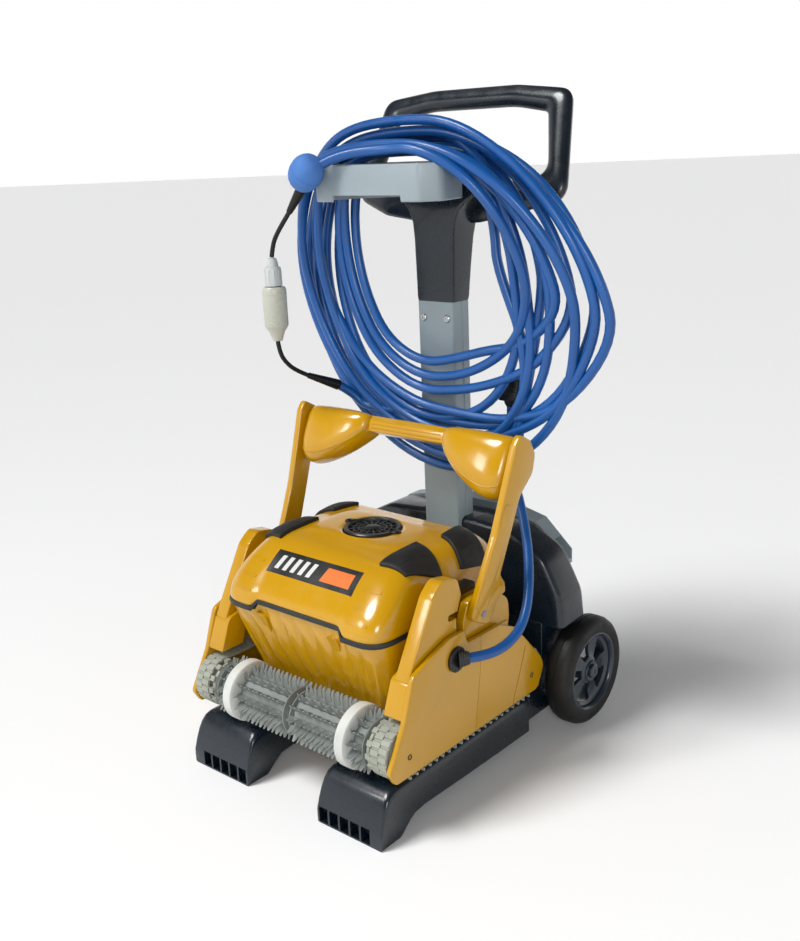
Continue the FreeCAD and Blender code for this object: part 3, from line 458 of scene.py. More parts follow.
def coil_points(turns, first, last):
    """Control points of hung turns, from station first of the first turn to station last of the last one."""
    count = len(STATIONS)
    made = []
    for turn, (right, left, bottom, lane, height) in enumerate(turns):
        following = turns[min(turn + 1, len(turns) - 1)]
        for n, (inner, outer, hung) in enumerate(STATIONS):
            if (turn == 0 and n < first) or (turn == len(turns) - 1 and n > last):
                continue
            angle = 2 * math.pi * n / count
            after = max(0.0, (n - 12) / 4)
            right_share = right * (1 - after) + following[0] * after
            east, west = max(0.0, math.cos(angle)) ** 1.5, max(0.0, -math.cos(angle)) ** 1.5
            south = max(0.0, -math.sin(angle)) ** 1.5
            north = max(0.0, math.sin(angle)) ** 1.5
            total = east + west + south + north
            share = (east * right_share + west * left + south * bottom + north * (right + left) / 2) / total
            x = inner[0] + (outer[0] - inner[0]) * share
            z = inner[1] + (outer[1] - inner[1]) * share + height * hung ** 3
            low_lane = 82 + 26 * share + 0.06 * lane
            y = lane * hung + low_lane * (1 - hung)
            made.append((x, y, z))
    return made


def floating_cable():
    """The robot's cable: out of the panel, up into the coil, round the hook, and into the ball float."""
    into_ball = [(30, -22, 1030), (-40, -40, 1026), (-84, -62, 1008), (-117, -79, 985)]
    points = LEAD + coil_points(TURNS, 0, 4) + into_ball
    line = route_line(points)
    cable = add_piece("floating_cable", tube_mesh(line, CABLE_RADIUS), CABLE, None, 60)
    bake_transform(cable)
    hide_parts("cable_lead", "cable_coil")


# ---- surroundings -----------------------------------------------------------------------------------------
def lamp(name, kind, energy, ahead, place=(0, 0, 0), **settings):
    """A light that shines ahead from a place."""
    data = bpy.data.lights.new(name, kind)
    data.energy = energy
    for key, value in settings.items():
        setattr(data, key, value)
    thing = show(name, data)
    thing.location = place
    thing.rotation_euler = Vector(ahead).to_track_quat("-Z", "Y").to_euler()


def studio():
    """A wide pale floor, a sky that is dimmer overhead than at the horizon, a soft sun and two softboxes."""
    bpy.ops.mesh.primitive_plane_add(size=400)
    floor = bpy.context.object
    floor.name = "floor"
    pale, _, _ = new_material("pale_floor", (0.92, 0.92, 0.92), 0.8)
    floor.data.materials.append(pale)
    world = bpy.data.worlds.new("studio")
    bpy.context.scene.world = world
    world.use_nodes = True
    tree = world.node_tree
    sky = tree.nodes["Background"]
    sky.inputs["Color"].default_value = (1.0, 1.0, 1.0, 1.0)
    direction = tree.nodes.new("ShaderNodeTexCoord")
    split = tree.nodes.new("ShaderNodeSeparateXYZ")
    tree.links.new(direction.outputs["Generated"], split.inputs["Vector"])
    remap(tree, split.outputs["Z"], sky.inputs["Strength"], (0.2, 0.45), (1.0, 0.12))
    lamp("sun", "SUN", 2.6, (0.35, 0.6, -1.0), angle=math.radians(22))
    middle = Vector((0, 0, 0.4))
    softboxes = (("window", (2.0, -2.2, 1.6), 0.7, 22), ("strip", (-1.4, -2.6, 1.9), 0.6, 16))
    for name, place, size, power in softboxes:
        lamp(name, "AREA", power, middle - Vector(place), place, size=size)


SLOT_MATERIALS = {
    "yellow_shell": YELLOW, "dark_shell": DARK, "grey_shell": GREY, "steel": STEEL, "cable_blue": CABLE,
    "float_blue": FOAM, "cable_black": LEAD_BLACK, "swivel_white": CREAM, "swivel_grey": CAP,
    "seal_rubber": SEAL, "grille_black": BLACK, "motor_grey": MOTOR, "basket_grey": BASKET,
    "tyre_rubber": TYRE, "track_rubber": TRACK, "brush_grey": BRUSH, "ring_white": RING,
}


def paint_frame():
    """Gives every CAD node the material of its slot."""
    for part in frame["record"]["subparts"]:
        mesh = frame["nodes"][part["node"]].data
        mesh.materials.clear()
        mesh.materials.append(SLOT_MATERIALS[part["material_slot"]])
        mesh.set_sharp_from_angle(angle=math.radians(35))


# ---- lid --------------------------------------------------------------------------------------------------
# Levels of the lid: height, front, rear, half width, corner radius.
LID_LEVELS = [
    (306, -261, 83, 177, 44), (311, -262, 84, 178, 44), (326, -259, 84, 178, 44), (344, -247, 82, 176.5, 46),
    (362, -228, 77, 173, 48), (379, -207, 67, 166, 48), (392, -188, 52, 157, 44), (401, -170, 36, 146, 38),
    (405, -150, 18, 130, 34),
]
PLATEAU = [(405.5, -132, 4, 112, 40), (408.5, -124, -3, 104, 42), (409.0, -116, -11, 84, 44)]
GRILLE = (0, -63, 409)
# Half the width between the two front cheeks, how far the face between them is set back, and how far its
# seam rises.
CHEEK = 100
SET_BACK = 7
SEAM_RISE = 13


def rounded_plan(front, rear, half, corner, around=128):
    """Points of a rounded rectangle, denser at the front, starting at the middle of the rear."""
    outline = arc_corners([(0, rear, 0), (half, rear, corner), (half, front, corner), (0, front, 0),
                           (-half, front, corner), (-half, rear, corner)], corner, 8)
    sides = [Vector(point) for point in outline]
    runs = [(b - a).length for a, b in zip(sides, sides[1:] + sides[:1])]
    total = sum(runs)
    points = []
    for n in range(around):
        goal = total * n / around
        for start, end, run in zip(sides, sides[1:] + sides[:1], runs):
            if goal <= run:
                points.append(start.lerp(end, goal / run if run else 0))
                break
            goal -= run
    return points


def step_up(value, edge, width=7.0):
    """0 before an edge and 1 past it, with a short smooth slope."""
    t = min(max((value - edge) / width + 0.5, 0), 1)
    return t * t * (3 - 2 * t)


def front_share(y, front):
    """1 on the front face, falling to 0 a little behind it."""
    return 1 - step_up(y, front + 40, 46)


def lid_ring(level, drop=0.0, inset=0.0):
    """One ring of the lid: between its two front cheeks the face is set back and the seam rises."""
    height, front, rear, half, corner = level
    made = []
    for point in rounded_plan(front + inset, rear - inset, half - inset, max(corner - inset, 6)):
        middle = (1 - step_up(abs(point.x), CHEEK)) * front_share(point.y, front)
        low = max(0.0, 1 - (height - 306) / 70)
        made.append(mm(point.x, point.y + SET_BACK * middle * min(1, 3 * low),
                       height - drop + SEAM_RISE * middle * low ** 2))
    return made


def inwards(ring, share, drop):
    """A ring drawn in about the robot's upright middle line, and lowered."""
    return [Vector((p.x * share, (p.y + 0.09) * share - 0.09, p.z - drop)) for p in ring]


def lid():
    """The lid as a shell with a plateau, a round well for the grille and an open underside."""
    rings = [lid_ring(LID_LEVELS[0], 0, 4)] + [lid_ring(level) for level in LID_LEVELS + PLATEAU]
    around = len(rings[0])
    for radius, height in ((56, 409.5), (51, 409), (50.5, 399)):
        circle = []
        for point in rings[4]:
            away = Vector((point.x, point.y - GRILLE[1] * MM, 0)).normalized() * radius * MM
            circle.append(Vector((away.x, away.y + GRILLE[1] * MM, height * MM)))
        rings.append(circle)
    inner = [inwards(ring, 0.975, 0.004) for ring in rings[2:-3]]
    bm = loft(rings + inner[::-1], caps=False)
    bm.verts.ensure_lookup_table()
    last = len(rings + inner) - 1
    for n in range(around):
        m = (n + 1) % around
        bm.faces.new((bm.verts[n], bm.verts[m], bm.verts[last * around + m], bm.verts[last * around + n]))
    return stand_in("lid", bm, YELLOW, 50, 1, name="lid_shell")


def surface_of(piece):
    """A tree of a piece's final surface, for laying other pieces on it."""
    solid = piece.evaluated_get(bpy.context.evaluated_depsgraph_get()).to_mesh()
    return BVHTree.FromPolygons([v.co for v in solid.vertices], [tuple(p.vertices) for p in solid.polygons])


def laid_on(tree, corners, toward, thickness, rows=10, columns=14, lift=0.2, crown=0.0, notch=0.0):
    """A thin block whose four-cornered plan is projected onto a surface along a direction."""
    a, b, c, d = (mm(*corner) for corner in corners)
    bm = bmesh.new()
    low, high = [], []
    for r in range(rows + 1):
        v = r / rows
        for k in range(columns + 1):
            u = k / columns
            start = a.lerp(b, u).lerp(d.lerp(c, u), v)
            hit, normal, _, _ = tree.ray_cast(start, Vector(toward))
            if hit is None:
                hit, normal, _, _ = tree.find_nearest(start)
            if normal.dot(Vector(toward)) > 0:
                normal = -normal
            rise = thickness + crown * math.sin(math.pi * u) * math.sin(math.pi * v)
            rise -= notch if 0.5 < u < 0.97 and 0.1 < v < 0.9 and k % 3 == 0 else 0
            low.append(bm.verts.new(hit - normal * lift * MM))
            high.append(bm.verts.new(hit + normal * rise * MM))
    wide = columns + 1
    for grid, flip in ((low, True), (high, False)):
        for r in range(rows):
            for k in range(columns):
                this, above = r * wide + k, (r + 1) * wide + k
                quad = [grid[this], grid[this + 1], grid[above + 1], grid[above]]
                bm.faces.new(quad[::-1] if flip else quad)
    rim = list(range(columns)) + [r * wide + columns for r in range(rows)]
    rim += [rows * wide + k for k in range(columns, 0, -1)] + [r * wide for r in range(rows, 0, -1)]
    for n, m in zip(rim, rim[1:] + rim[:1]):
        bm.faces.new((low[n], low[m], high[m], high[n]))
    return bm


def pads(tree):
    """Rubber bumpers over the lid's four top corners, with shallow grooves across one half."""
    plans = [
        [(112, -174, 460), (158, -166, 460), (173, -94, 460), (110, -80, 460)],
        [(122, -30, 460), (172, -44, 460), (175, 22, 460), (114, 28, 460)],
    ]
    joined = bmesh.new()
    for sign in SIDES.values():
        for plan in plans:
            corners = [(sign * x, y, z) for x, y, z in plan]
            part = laid_on(tree, corners if sign > 0 else corners[::-1], (0, 0, -1), 6.5, 12, 18, 1.0, 2.0, 1.6)
            bmesh.ops.recalc_face_normals(part, faces=part.faces)
            soften(part, 2.2, 2, 50)
            merge(joined, part)
    stand_in("corner_pads", joined, PAD, 55, name="lid_pads")


def label(tree):
    """A plain dark band across the front slope, with generic stripes."""
    top = [(-95, -300, 389), (95, -300, 389), (97, -300, 361), (-97, -300, 361)]
    band = laid_on(tree, top, (0, 1, 0), 0.5, 8, 30, 0.2)
    add_piece("label_band", band, BLACK, "lid")
    stripes = bmesh.new()
    for start in (-84, -66, -48, -30, -12):
        corners = [(start + 6, -300, 384), (start + 15, -300, 384), (start + 9, -300, 367), (start, -300, 367)]
        merge(stripes, laid_on(tree, corners, (0, 1, 0), 0.8, 4, 3, -0.4))
    add_piece("label_stripes", stripes, LABEL_WHITE, "lid")
    corners = [(26, -300, 384), (84, -300, 384), (84, -300, 367), (20, -300, 367)]
    add_piece("label_block", laid_on(tree, corners, (0, 1, 0), 0.8, 4, 12, -0.4), LABEL_ORANGE, "lid")


def cheek_ledges(tree):
    """Small ledges across the lid's two front cheeks."""
    ledges = bmesh.new()
    for sign in SIDES.values():
        for n, height in enumerate((372, 352, 332)):
            left, right = sorted((sign * (112 - 2 * n), sign * (146 + 2 * n)))
            top, bottom = height + 1.2, height - 1.2
            corners = [(left, -300, top), (right, -300, top), (right, -300, bottom), (left, -300, bottom)]
            merge(ledges, laid_on(tree, corners, (0, 1, 0), 1.0, 3, 14, 0.6))
    add_piece("lid_ledges", ledges, YELLOW, "lid", 60)


def grille():
    """The outlet's round grille: a rim with two screwed ears, radial vanes and a ring of slots."""
    x, y, z = GRILLE
    rim = [(0, 50), (10.5, 50), (12, 48.5), (12, 43), (10, 41.5), (4, 41.5)]
    bm = turned("Z", (x, y, z - 9), rim, 64, caps=False)
    for sign in SIDES.values():
        near, far = sign * 44, sign * 61
        ear = [(near, y - 10), (far, y - 7, 7), (far, y + 7, 7), (near, y + 10)]
        prism(arc_corners(ear, 2), "Z", z, z + 3, bm)
        turned("Z", (sign * 55, y, z + 3), [(0, 3.6), (1.2, 3.6), (1.8, 2.6)], 20, bm)
    turned("Z", (x, y, z - 8), [(0, 13), (8.5, 13), (10, 11), (10.4, 0.5)], 32, bm)
    for turn in angles(16):
        before = set(bm.verts)
        block((12, -1.3, z - 7), (43, 1.3, z + 0.5), bm)
        turn_new(bm, before, Matrix.Rotation(turn, 4, "Z"), mm(0, y, 0))
    for radius in (24, 33):
        near, far = radius - 1, radius + 1
        section = [(0, near), (6.2, near), (6.2, far), (0, far), (0, near)]
        turned("Z", (x, y, z - 6), section, 48, bm, caps=False)
    stand_in("outlet_grille", bm, BLACK)


def gasket():
    """The dark seal along the seam, following its rise between the cheeks."""
    path = lid_ring(LID_LEVELS[0], 3)
    section = [(-4.6, -3.4), (1.2, -4.4), (2.6, -2), (2.6, 2), (1.2, 4.4), (-4.6, 3.4)]
    rings = []
    for n, point in enumerate(path):
        along = (path[(n + 1) % len(path)] - path[n - 1]).normalized()
        out = Vector((along.y, -along.x, 0)).normalized()
        if out.dot(Vector((point.x, point.y + 0.09, 0))) < 0:
            out = -out
        rings.append([point + out * a * MM + Vector((0, 0, b * MM)) for a, b in section])
    bm = loft(rings + rings[:1], caps=False)
    stand_in("lid_gasket", bm, SEAL, 45, name="seam_seal")


# ---- tub --------------------------------------------------------------------------------------------------
TUB_LEVELS = [
    (112, -190, 9, 150, 24), (116, -197, 16, 159, 26), (150, -200, 17, 161, 28), (185, -212, 30, 165, 32),
    (225, -229, 50, 170, 36), (262, -244, 68, 174, 40), (288, -253, 78, 176, 42), (299, -254, 80, 176, 42),
]
FLUTE_DEPTH = 5.5
FLUTE_PITCH = 17.5


def tub():
    """The tub: its front carries slanting flutes that fade towards the seam."""
    rings = []
    for height, front, rear, half, corner in TUB_LEVELS:
        ring = []
        for point in rounded_plan(front, rear, half, corner, 256):
            face = front_share(point.y, front)
            fade = min(1, (height - 112) / 50) * min(1, max(0.0, (296 - height) / 26))
            phase = (point.x + (height - 200) * 0.18) / FLUTE_PITCH
            flute = FLUTE_DEPTH * max(0.0, math.cos(math.pi * phase)) ** 3
            middle = (1 - step_up(abs(point.x), CHEEK)) * face * max(0.0, 1 - (300 - height) / 60)
            ring.append(mm(point.x, point.y + flute * face * fade + SET_BACK * middle,
                           height + SEAM_RISE * middle ** 2))
        rings.append(ring)
    inner = [inwards(ring, 0.97, 0 if n else -0.004) for n, ring in enumerate(rings)]
    bm = loft(rings + inner[::-1])
    stand_in("lower_hull", bm, YELLOW, 50, name="tub_shell")
    latches = bmesh.new()
    for x in (-92, 72):
        shape = [(x - 9, 296, 5), (x + 12, 292, 6), (x + 10, 262, 8), (x - 2, 236, 3), (x - 8, 262, 8)]
        prism(arc_corners(shape, 5), "Y", -254, -238, latches)
    soften(latches, 3, 3)
    for vert in latches.verts:
        vert.co.y += (0.296 - vert.co.z) * 0.42
    add_piece("seam_latches", latches, YELLOW, "robot")


# ---- side panels ------------------------------------------------------------------------------------------
PANEL = (221.5, 231)
COVER = [
    (-304, 130, 12), (-290, 106, 12), (96, 106, 16), (117, 146, 24), (104, 168, 20), (66, 210, 50),
    (28, 250, 20), (-16, 270, 8), (-104, 272, 4), (-112, 296, 6), (-150, 296, 6), (-200, 282, 14),
    (-242, 266, 18), (-266, 198, 6),
]
LUG = [
    (-244, 252, 4), (-176, 372, 40), (-152, 390, 18), (-112, 382, 16), (-104, 352, 8), (-118, 318, 6),
    (-120, 246, 3),
]
BRACKET = [
    (-100, 236, 2), (-100, 300, 10), (-84, 334, 18), (-20, 334, 34), (26, 300, 26), (28, 268, 10),
    (22, 236, 2),
]
SEAM = [(-66, 296), (-74, 204), (-86, 132), (-90, 100)]
CREASE = [(58, 204), (40, 160), (22, 121), (17, 100)]


def groove(line, wide, low, high):
    """A cutter that follows a line on the cheek's outer face."""
    return prism([(y - wide, z) for y, z in line] + [(y + wide, z) for y, z in reversed(line)], "X", low, high)


def side_panel(side):
    """The cheek over a track: cover with a joint and a crease, mudguard, slotted lug and handle bracket."""
    sign = SIDES[side]
    inner, outer = PANEL
    cover = slab(arc_corners(COVER, 6), "X", inner, outer, 2.6, 3, 40)
    cover = carved(cover, groove(SEAM, 0.6, outer - 1.8, outer + 4))
    cover = carved(cover, groove(CREASE, 1.2, outer - 1.6, outer + 4))
    guard = arc_corners([(-264, 199, 3), (-242, 255, 16), (-206, 266, 6), (-202, 232, 6), (-214, 199, 3)], 3)
    merge(cover, slab(guard, "X", 186, outer - 0.6, 5, 4, 40))
    lug = slab(arc_corners(LUG, 5), "X", 194, 220.4, 6, 4, 40)
    slot = prism(rounded_box((-140, 317), (-100, 328), 5), "X", 196, 232)
    merge(cover, carved(lug, slot))
    merge(cover, slab(arc_corners(BRACKET, 5), "X", 204, 218.8, 3, 3, 40))
    merge(cover, slab([(-200, 236), (20, 236), (20, 264), (-200, 264)], "X", 204, 222.5, 2))
    stand_in(f"side_panel_{side}", flipped(cover, sign), YELLOW, 40)
    # A black block fills the dark gap between the lug and the handle arm: it stands for a black latch there and
    # for painted shade in that gap. A black fill at the bottom of the lug's slot is painted shade in the slot.
    latch_and_shade = slab(rounded_box((-92, 338), (-44, 352), 5), "X", 181.5, 203, 2.5)
    merge(latch_and_shade, slab(rounded_box((-138, 318), (-104, 327), 4), "X", 197, 202, 1))
    add_piece(f"panel_latch_and_shade_{side}", flipped(latch_and_shade, sign), BLACK, "robot")


def panel_screws():
    """The small screws that hold the cheeks."""
    bm = bmesh.new()
    for sign in SIDES.values():
        for y in (-257, 76):
            screw = turned("X", (231, y, 140), [(-2, 4.6), (0.7, 4.6), (1.0, 4.2), (1.0, 3.2), (-0.2, 2.8)], 24)
            merge(bm, flipped(screw, sign))
    stand_in("panel_screws", bm, BLACK)


def gland():
    """The black bush at the cable's exit: a ribbed flange and a nose that slants with the cable."""
    y, z = -136, 256
    bm = turned("X", (0, y, z), [(226, 20), (231, 21), (234.5, 21), (236, 19.5), (236, 14)], 48)
    for turn in angles(12):
        place = (0, y + 17 * math.cos(turn), z + 17 * math.sin(turn))
        merge(bm, turned("X", place, [(234, 1.6), (236.6, 1.6), (237, 1.0)], 10))
    start, end = mm(233, -134, 256), mm(245, -121, 256)
    steps = 9
    path = [start.lerp(end, n / steps) for n in range(steps + 1)]
    widths = [(14.5 - 4.6 * n / steps + (1.0 if n % 2 else 0)) * MM for n in range(steps + 1)]
    merge(bm, tube_mesh(path, widths, 28))
    stand_in("cable_gland", bm, BLACK, 40, name="gland_visual")


# ---- tracks and brushes -----------------------------------------------------------------------------------
AXLES = (-257, 76)
AXLE_HEIGHT = 143


def stadium_point(distance, radius):
    """A point at a distance along the belt's loop, and the direction out of it."""
    straight = AXLES[1] - AXLES[0]
    bend = math.pi * radius
    distance %= 2 * (straight + bend)
    if distance < straight:
        return (AXLES[0] + distance, AXLE_HEIGHT - radius), (0, -1)
    distance -= straight
    if distance < bend:
        turn = distance / radius - math.pi / 2
        out = (math.cos(turn), math.sin(turn))
        return (AXLES[1] + radius * out[0], AXLE_HEIGHT + radius * out[1]), out
    distance -= bend
    if distance < straight:
        return (AXLES[1] - distance, AXLE_HEIGHT + radius), (0, 1)
    turn = (distance - straight) / radius + math.pi / 2
    out = (math.cos(turn), math.sin(turn))
    return (AXLES[0] + radius * out[0], AXLE_HEIGHT + radius * out[1]), out


def belt_block(bm, distance, radius, half, low, high, span):
    """A block on the belt, half its length each way along the loop, between two heights above radius."""
    (y, z), (oy, oz) = stadium_point(distance, radius)
    ty, tz = -oz, oy
    outline = [(y + ty * a * half + oy * b, z + tz * a * half + oz * b)
               for a, b in ((-1, low), (1, low), (0.86, high), (-0.86, high))]
    prism(outline, "X", *span, bm)


def track(side):
    """The toothed belt: a band, close-set plates in two staggered rows, and cross lugs that stick out below."""
    radius = 39
    loop = 2 * (AXLES[1] - AXLES[0]) + 2 * math.pi * radius
    count = 180
    rings = []
    for n in range(count):
        (y, z), (oy, oz) = stadium_point(loop * n / count, radius)
        rings.append([mm(x, y + oy * r, z + oz * r) for x, r in ((188, 0), (220, 0), (220, 2.6), (188, 2.6))])
    bm = loft(rings + rings[:1], caps=False)
    plates = 76
    for n in range(plates):
        middle = loop * n / plates
        belt_block(bm, middle, radius, 5.1, 2.2, 5.0, (188, 203.4))
        belt_block(bm, middle + loop / plates / 2, radius, 5.1, 2.2, 5.0, (204.2, 219.8))
    straight = AXLES[1] - AXLES[0]
    lugs = 21
    for n in range(lugs):
        belt_block(bm, 4 + (straight - 8) * n / (lugs - 1), radius, 1.5, 1.5, 5.8, (190, 228.5))
    for n in range(2 * lugs):
        belt_block(bm, 6 + (straight - 12) * n / (2 * lugs - 1), radius, 1.1, 0.4, 4.4, (216, 224.6))
    stand_in(f"track_{side}", flipped(bm, SIDES[side]), TRACK, 30)


def brush_row(bm, centre, turn, start, end):
    """One row of a brush: a rib and the leaning triangular fins on it."""
    y, z = centre
    before = set(bm.verts)
    block((start, -1.6, 28), (end, 1.6, 37), bm)
    pitch = 9.4
    fins = max(2, round((end - start) / pitch))
    step = (end - start) / fins
    for n in range(fins):
        x = start + step * (n + 0.5)
        lean = 0.42 if n % 2 else -0.42
        half = step * 0.62
        tip = 1.6
        low = [(-half, -1.2), (half, -1.2), (half, 1.2), (-half, 1.2)]
        high = [(-tip, -0.7), (tip, -0.7), (tip, 0.7), (-tip, 0.7)]
        rings = []
        for corners, height in ((low, 35), (high, 51.4)):
            ring = []
            for a, b in corners:
                ring.append(mm(x + a * math.cos(lean) - b * math.sin(lean),
                               a * math.sin(lean) + b * math.cos(lean), height))
            rings.append(ring)
        loft(rings, bm=bm)
    turn_new(bm, before, Matrix.Rotation(turn, 4, "X"), mm(0, y, z))


def brush(place, side):
    """Half a roller: core, rows of fins, end discs; its white foam ring; and the castellated drive hub."""
    sign = SIDES[side]
    y = AXLES[0] if place == "front" else AXLES[1]
    label = f"{place}_{side}"
    centre = (0, y, AXLE_HEIGHT)
    core = [
        (6, 5.2), (6, 29), (8, 31), (116, 31), (118.5, 29), (141.5, 29), (144, 31), (166, 31), (168, 29),
        (168, 5.2),
    ]
    disc = [(-1.2, 30), (-1.2, 39), (0, 40), (1.2, 39), (1.2, 30)]
    bm = turned("X", centre, core, 48)
    for x in (7.5, 168):
        merge(bm, turned("X", (x, y, AXLE_HEIGHT), disc, 40, caps=False))
    for turn in angles(14):
        brush_row(bm, (y, AXLE_HEIGHT), turn, 10, 118)
        brush_row(bm, (y, AXLE_HEIGHT), turn, 142, 167)
    stand_in(f"brush_{label}", flipped(bm, sign), BRUSH, 30)
    ring = turned("X", centre, [(119, 31), (119, 50), (121.5, 53), (138.5, 53), (141, 50), (141, 31)], 72)
    stand_in(f"brush_ring_{label}", flipped(ring, sign), RING, 40)
    profile = [(169.5, 5.2), (169.5, 26), (172, 30), (176, 38), (181, 38), (183, 34), (220, 34), (220, 5.2)]
    hub = turned("X", centre, profile, 56)
    for turn in angles(12):
        before = set(hub.verts)
        block((177, -4.5, 36), (186.5, 4.5, 42.5), hub)
        turn_new(hub, before, Matrix.Rotation(turn, 4, "X"), mm(0, y, AXLE_HEIGHT))
    stand_in(f"track_pulley_{label}", flipped(hub, sign), TRACK, 35)


# ---- handle -----------------------------------------------------------------------------------------------
PIVOT = (0, -63, 307)
LEAN = math.radians(-25.5)
SPLAY = 16 / 300
# The arm seen from its side: along the machine and up, from the pivot, before it leans.
ARM = [
    (-28, -16, 16), (28, -16, 16), (29, 30, 8), (47, 42, 6), (36, 57, 5), (17, 68, 8), (13, 136, 60),
    (8, 199, 40), (25, 240, 24), (16, 272, 16), (-8, 289, 18), (-40, 291, 10), (-45, 270, 12), (-36, 196, 60),
    (-28, 125, 60),
]
# The float's sections, from its inner end outwards: across, underside, front, top.
FLOAT = [
    (84, 262, -20, 280), (86, 252, -29, 286), (96, 240, -36, 289), (114, 223, -41, 290), (134, 208, -43, 291),
    (156, 195, -44, 291), (178, 185, -44, 291), (198, 180, -43, 290), (214, 184, -40, 290),
    (224, 193, -35, 289), (229, 207, -27, 286), (230.5, 225, -18, 280),
]


def leaned(bm):
    """Stands a mesh made about the pivot in its place, leaned back."""
    turn = Matrix.Translation(mm(*PIVOT)) @ Matrix.Rotation(LEAN, 4, "X")
    bmesh.ops.transform(bm, matrix=turn, verts=bm.verts)
    return bm


def arm(sign):
    """A flat arm with a round head and foot, splayed outwards as it rises, with a raised inner rib."""
    bm = slab(arc_corners(ARM, 6), "X", 219.5, 232.5, 3, 3, 40)
    merge(bm, turned("X", (0, 0, -2), [(231, 4.6), (233.4, 4.6), (234, 4.0), (234, 2.4), (232.6, 2.0)], 24))
    rib = arc_corners([(-24, 4, 6), (6, 4, 6), (2, 180, 10), (-28, 180, 10)], 4)
    merge(bm, slab(rib, "X", 231, 233.4, 1.0, 2, 40))
    for vert in bm.verts:
        vert.co.x += SPLAY * vert.co.z
    return flipped(bm, sign)


def handle():
    """The two arms and the faceted grip between them."""
    bm = bmesh.new()
    for sign in SIDES.values():
        merge(bm, arm(sign))
    grip = [(-20, 257, 5), (14, 257, 6), (14, 284, 6), (2, 287, 3), (-14, 287, 5), (-22, 276, 5)]
    merge(bm, slab(arc_corners(grip, 3), "X", -232, 232, 1.5, 2, 40))
    for z in (263, 270):
        merge(bm, slab([(-22.6, z), (-19, z), (-19, z + 2), (-22.6, z + 2)], "X", -78, 78, 0.5, 1))
    stand_in("handle_frame", leaned(bm), YELLOW, 40, name="handle_visual")


def float_block(side):
    """A rounded buoyancy block: deepest near the arm, tapering to the middle of the grip."""
    rings = []
    for x, low, front, top in FLOAT:
        middle_y, half_y = (front + 20) / 2, (20 - front) / 2
        middle_z, half_z = (low + top) / 2, (top - low) / 2
        ring = []
        for turn in angles(36):
            c, s = math.cos(turn), math.sin(turn)
            square = 3.4 if s > 0 else 2.5
            y = middle_y + half_y * math.copysign(abs(c) ** (2 / square), c)
            z = middle_z + half_z * math.copysign(abs(s) ** (2 / square), s)
            ring.append(mm(x, y, z))
        rings.append(ring)
    bm = loft(rings)
    ridge = [Vector((ring[22].x, ring[22].y * 1.004, ring[22].z)) for ring in rings[2:-2]]
    merge(bm, tube_mesh(ridge, 0.9 * MM, 8))
    stand_in(f"float_{side}", leaned(flipped(bm, SIDES[side])), YELLOW, 60, 1)


# ---- trolley ----------------------------------------------------------------------------------------------
# Sections along a fork: distance, underside, top, corner radius on top.
FORK = [
    (-317.6, 0.3, 25, 2), (-316.6, 0, 30, 3), (-311, 0, 48, 5), (-305, 0, 64, 8), (-298, 0, 77, 11),
    (-290, 0, 85.5, 13), (-281, 0, 88.8, 14), (-272, 0, 89.4, 14), (-264, 5, 89.5, 14), (-250, 17, 89.5, 14),
    (-236, 25, 89.5, 14), (-210, 27.5, 89.5, 14), (-100, 24, 89.5, 14), (0, 21.5, 89.5, 14),
    (84.4, 20, 89.5, 14),
]


def fork(side):
    """A long foot with a round-edged top and five ramped pockets across its toe."""
    rings = []
    for y, low, high, radius in FORK:
        outline = arc_corners([(83, low, 3), (219, low, 4), (219, high, radius), (83, high, radius)], 3, 5)
        rings.append([mm(x, y, z) for x, z in outline])
    bm = loft(rings)
    pockets = bmesh.new()
    for n in range(5):
        x = 87 + 22.4 * n
        ramp = [(-330, 3), (-300, 3), (-307, 14), (-315, 29), (-330, 32)]
        prism(ramp, "X", x, x + 18.4, pockets)
    stand_in(f"fork_{side}", flipped(carved(bm, pockets), SIDES[side]), DARK, 34)


ARCH = [(256, 206, 8), (250, 262, 60), (212, 334, 60), (142, 370, 60), (60, 376, 40)]


def trolley_base():
    """The housing between the wheels: a rounded box under a broad arch that hides the axle."""
    outline = arc_corners([*ARCH, *((-x, z, r) for x, z, r in reversed(ARCH))], 20, 7)
    rings = []
    middle = Vector((0, 250))
    for y, inset in ((137.2, 9), (139.5, 4), (144, 1), (150, 0), (204, 0), (210, 1.5), (213, 5), (214, 8)):
        ring = []
        for a, b in outline:
            point = Vector((a, b))
            point -= (point - middle).normalized() * inset
            ring.append(mm(point.x, y, max(point.y, 206)))
        rings.append(ring)
    bm = loft(rings)
    merge(bm, slab([(84.8, 34), (246, 34), (246, 86), (84.8, 86)], "X", -213.5, 213.5, 8, 4))
    box = arc_corners([(135, 60, 2), (246, 60, 2), (246, 214, 10), (135, 214, 10)], 4)
    merge(bm, slab(box, "X", -213, 213, 8, 4, 40))
    for sign in SIDES.values():
        rib = arc_corners([(137, 214, 4), (214, 214, 4), (190, 262, 16), (150, 262, 16)], 4)
        merge(bm, flipped(slab(rib, "X", 196, 206, 3, 3, 40), sign))
    stand_in("base_arch", bm, DARK, 40, name="trolley_base_visual")


# One side of the mast's outline, from the front to the back.
COLUMN = [(39, 127, 5), (39, 146, 1), (37.4, 148, 0), (37.4, 154, 0), (39, 156, 1), (39, 175, 5)]


def column():
    """The pale extruded mast with a groove down each side, and its two screws."""
    outline = arc_corners(mirrored(COLUMN), 4, 4)
    stand_in("column", slab(outline, "Z", 199, 771, 0.6, 1, 60), GREY, 30)
    bm = bmesh.new()
    for x in (-26, 26):
        head = [(0, 6.4), (-2.2, 6.4), (-3.2, 5.2), (-3.2, 2.6), (-1.6, 2.4)]
        merge(bm, turned("Y", (x, 127.4, 742), head, 24))
    stand_in("column_screws", bm, STEEL, 35)
    clip = slab(rounded_box((44, 262), (62, 300), 6), "Y", 120, 136, 3)
    merge(clip, turned("Y", (53, 120, 290), [(0, 5), (-3, 5), (-4, 3.5)], 20))
    add_piece("cable_clip", clip, BLACK, "trolley", 40)


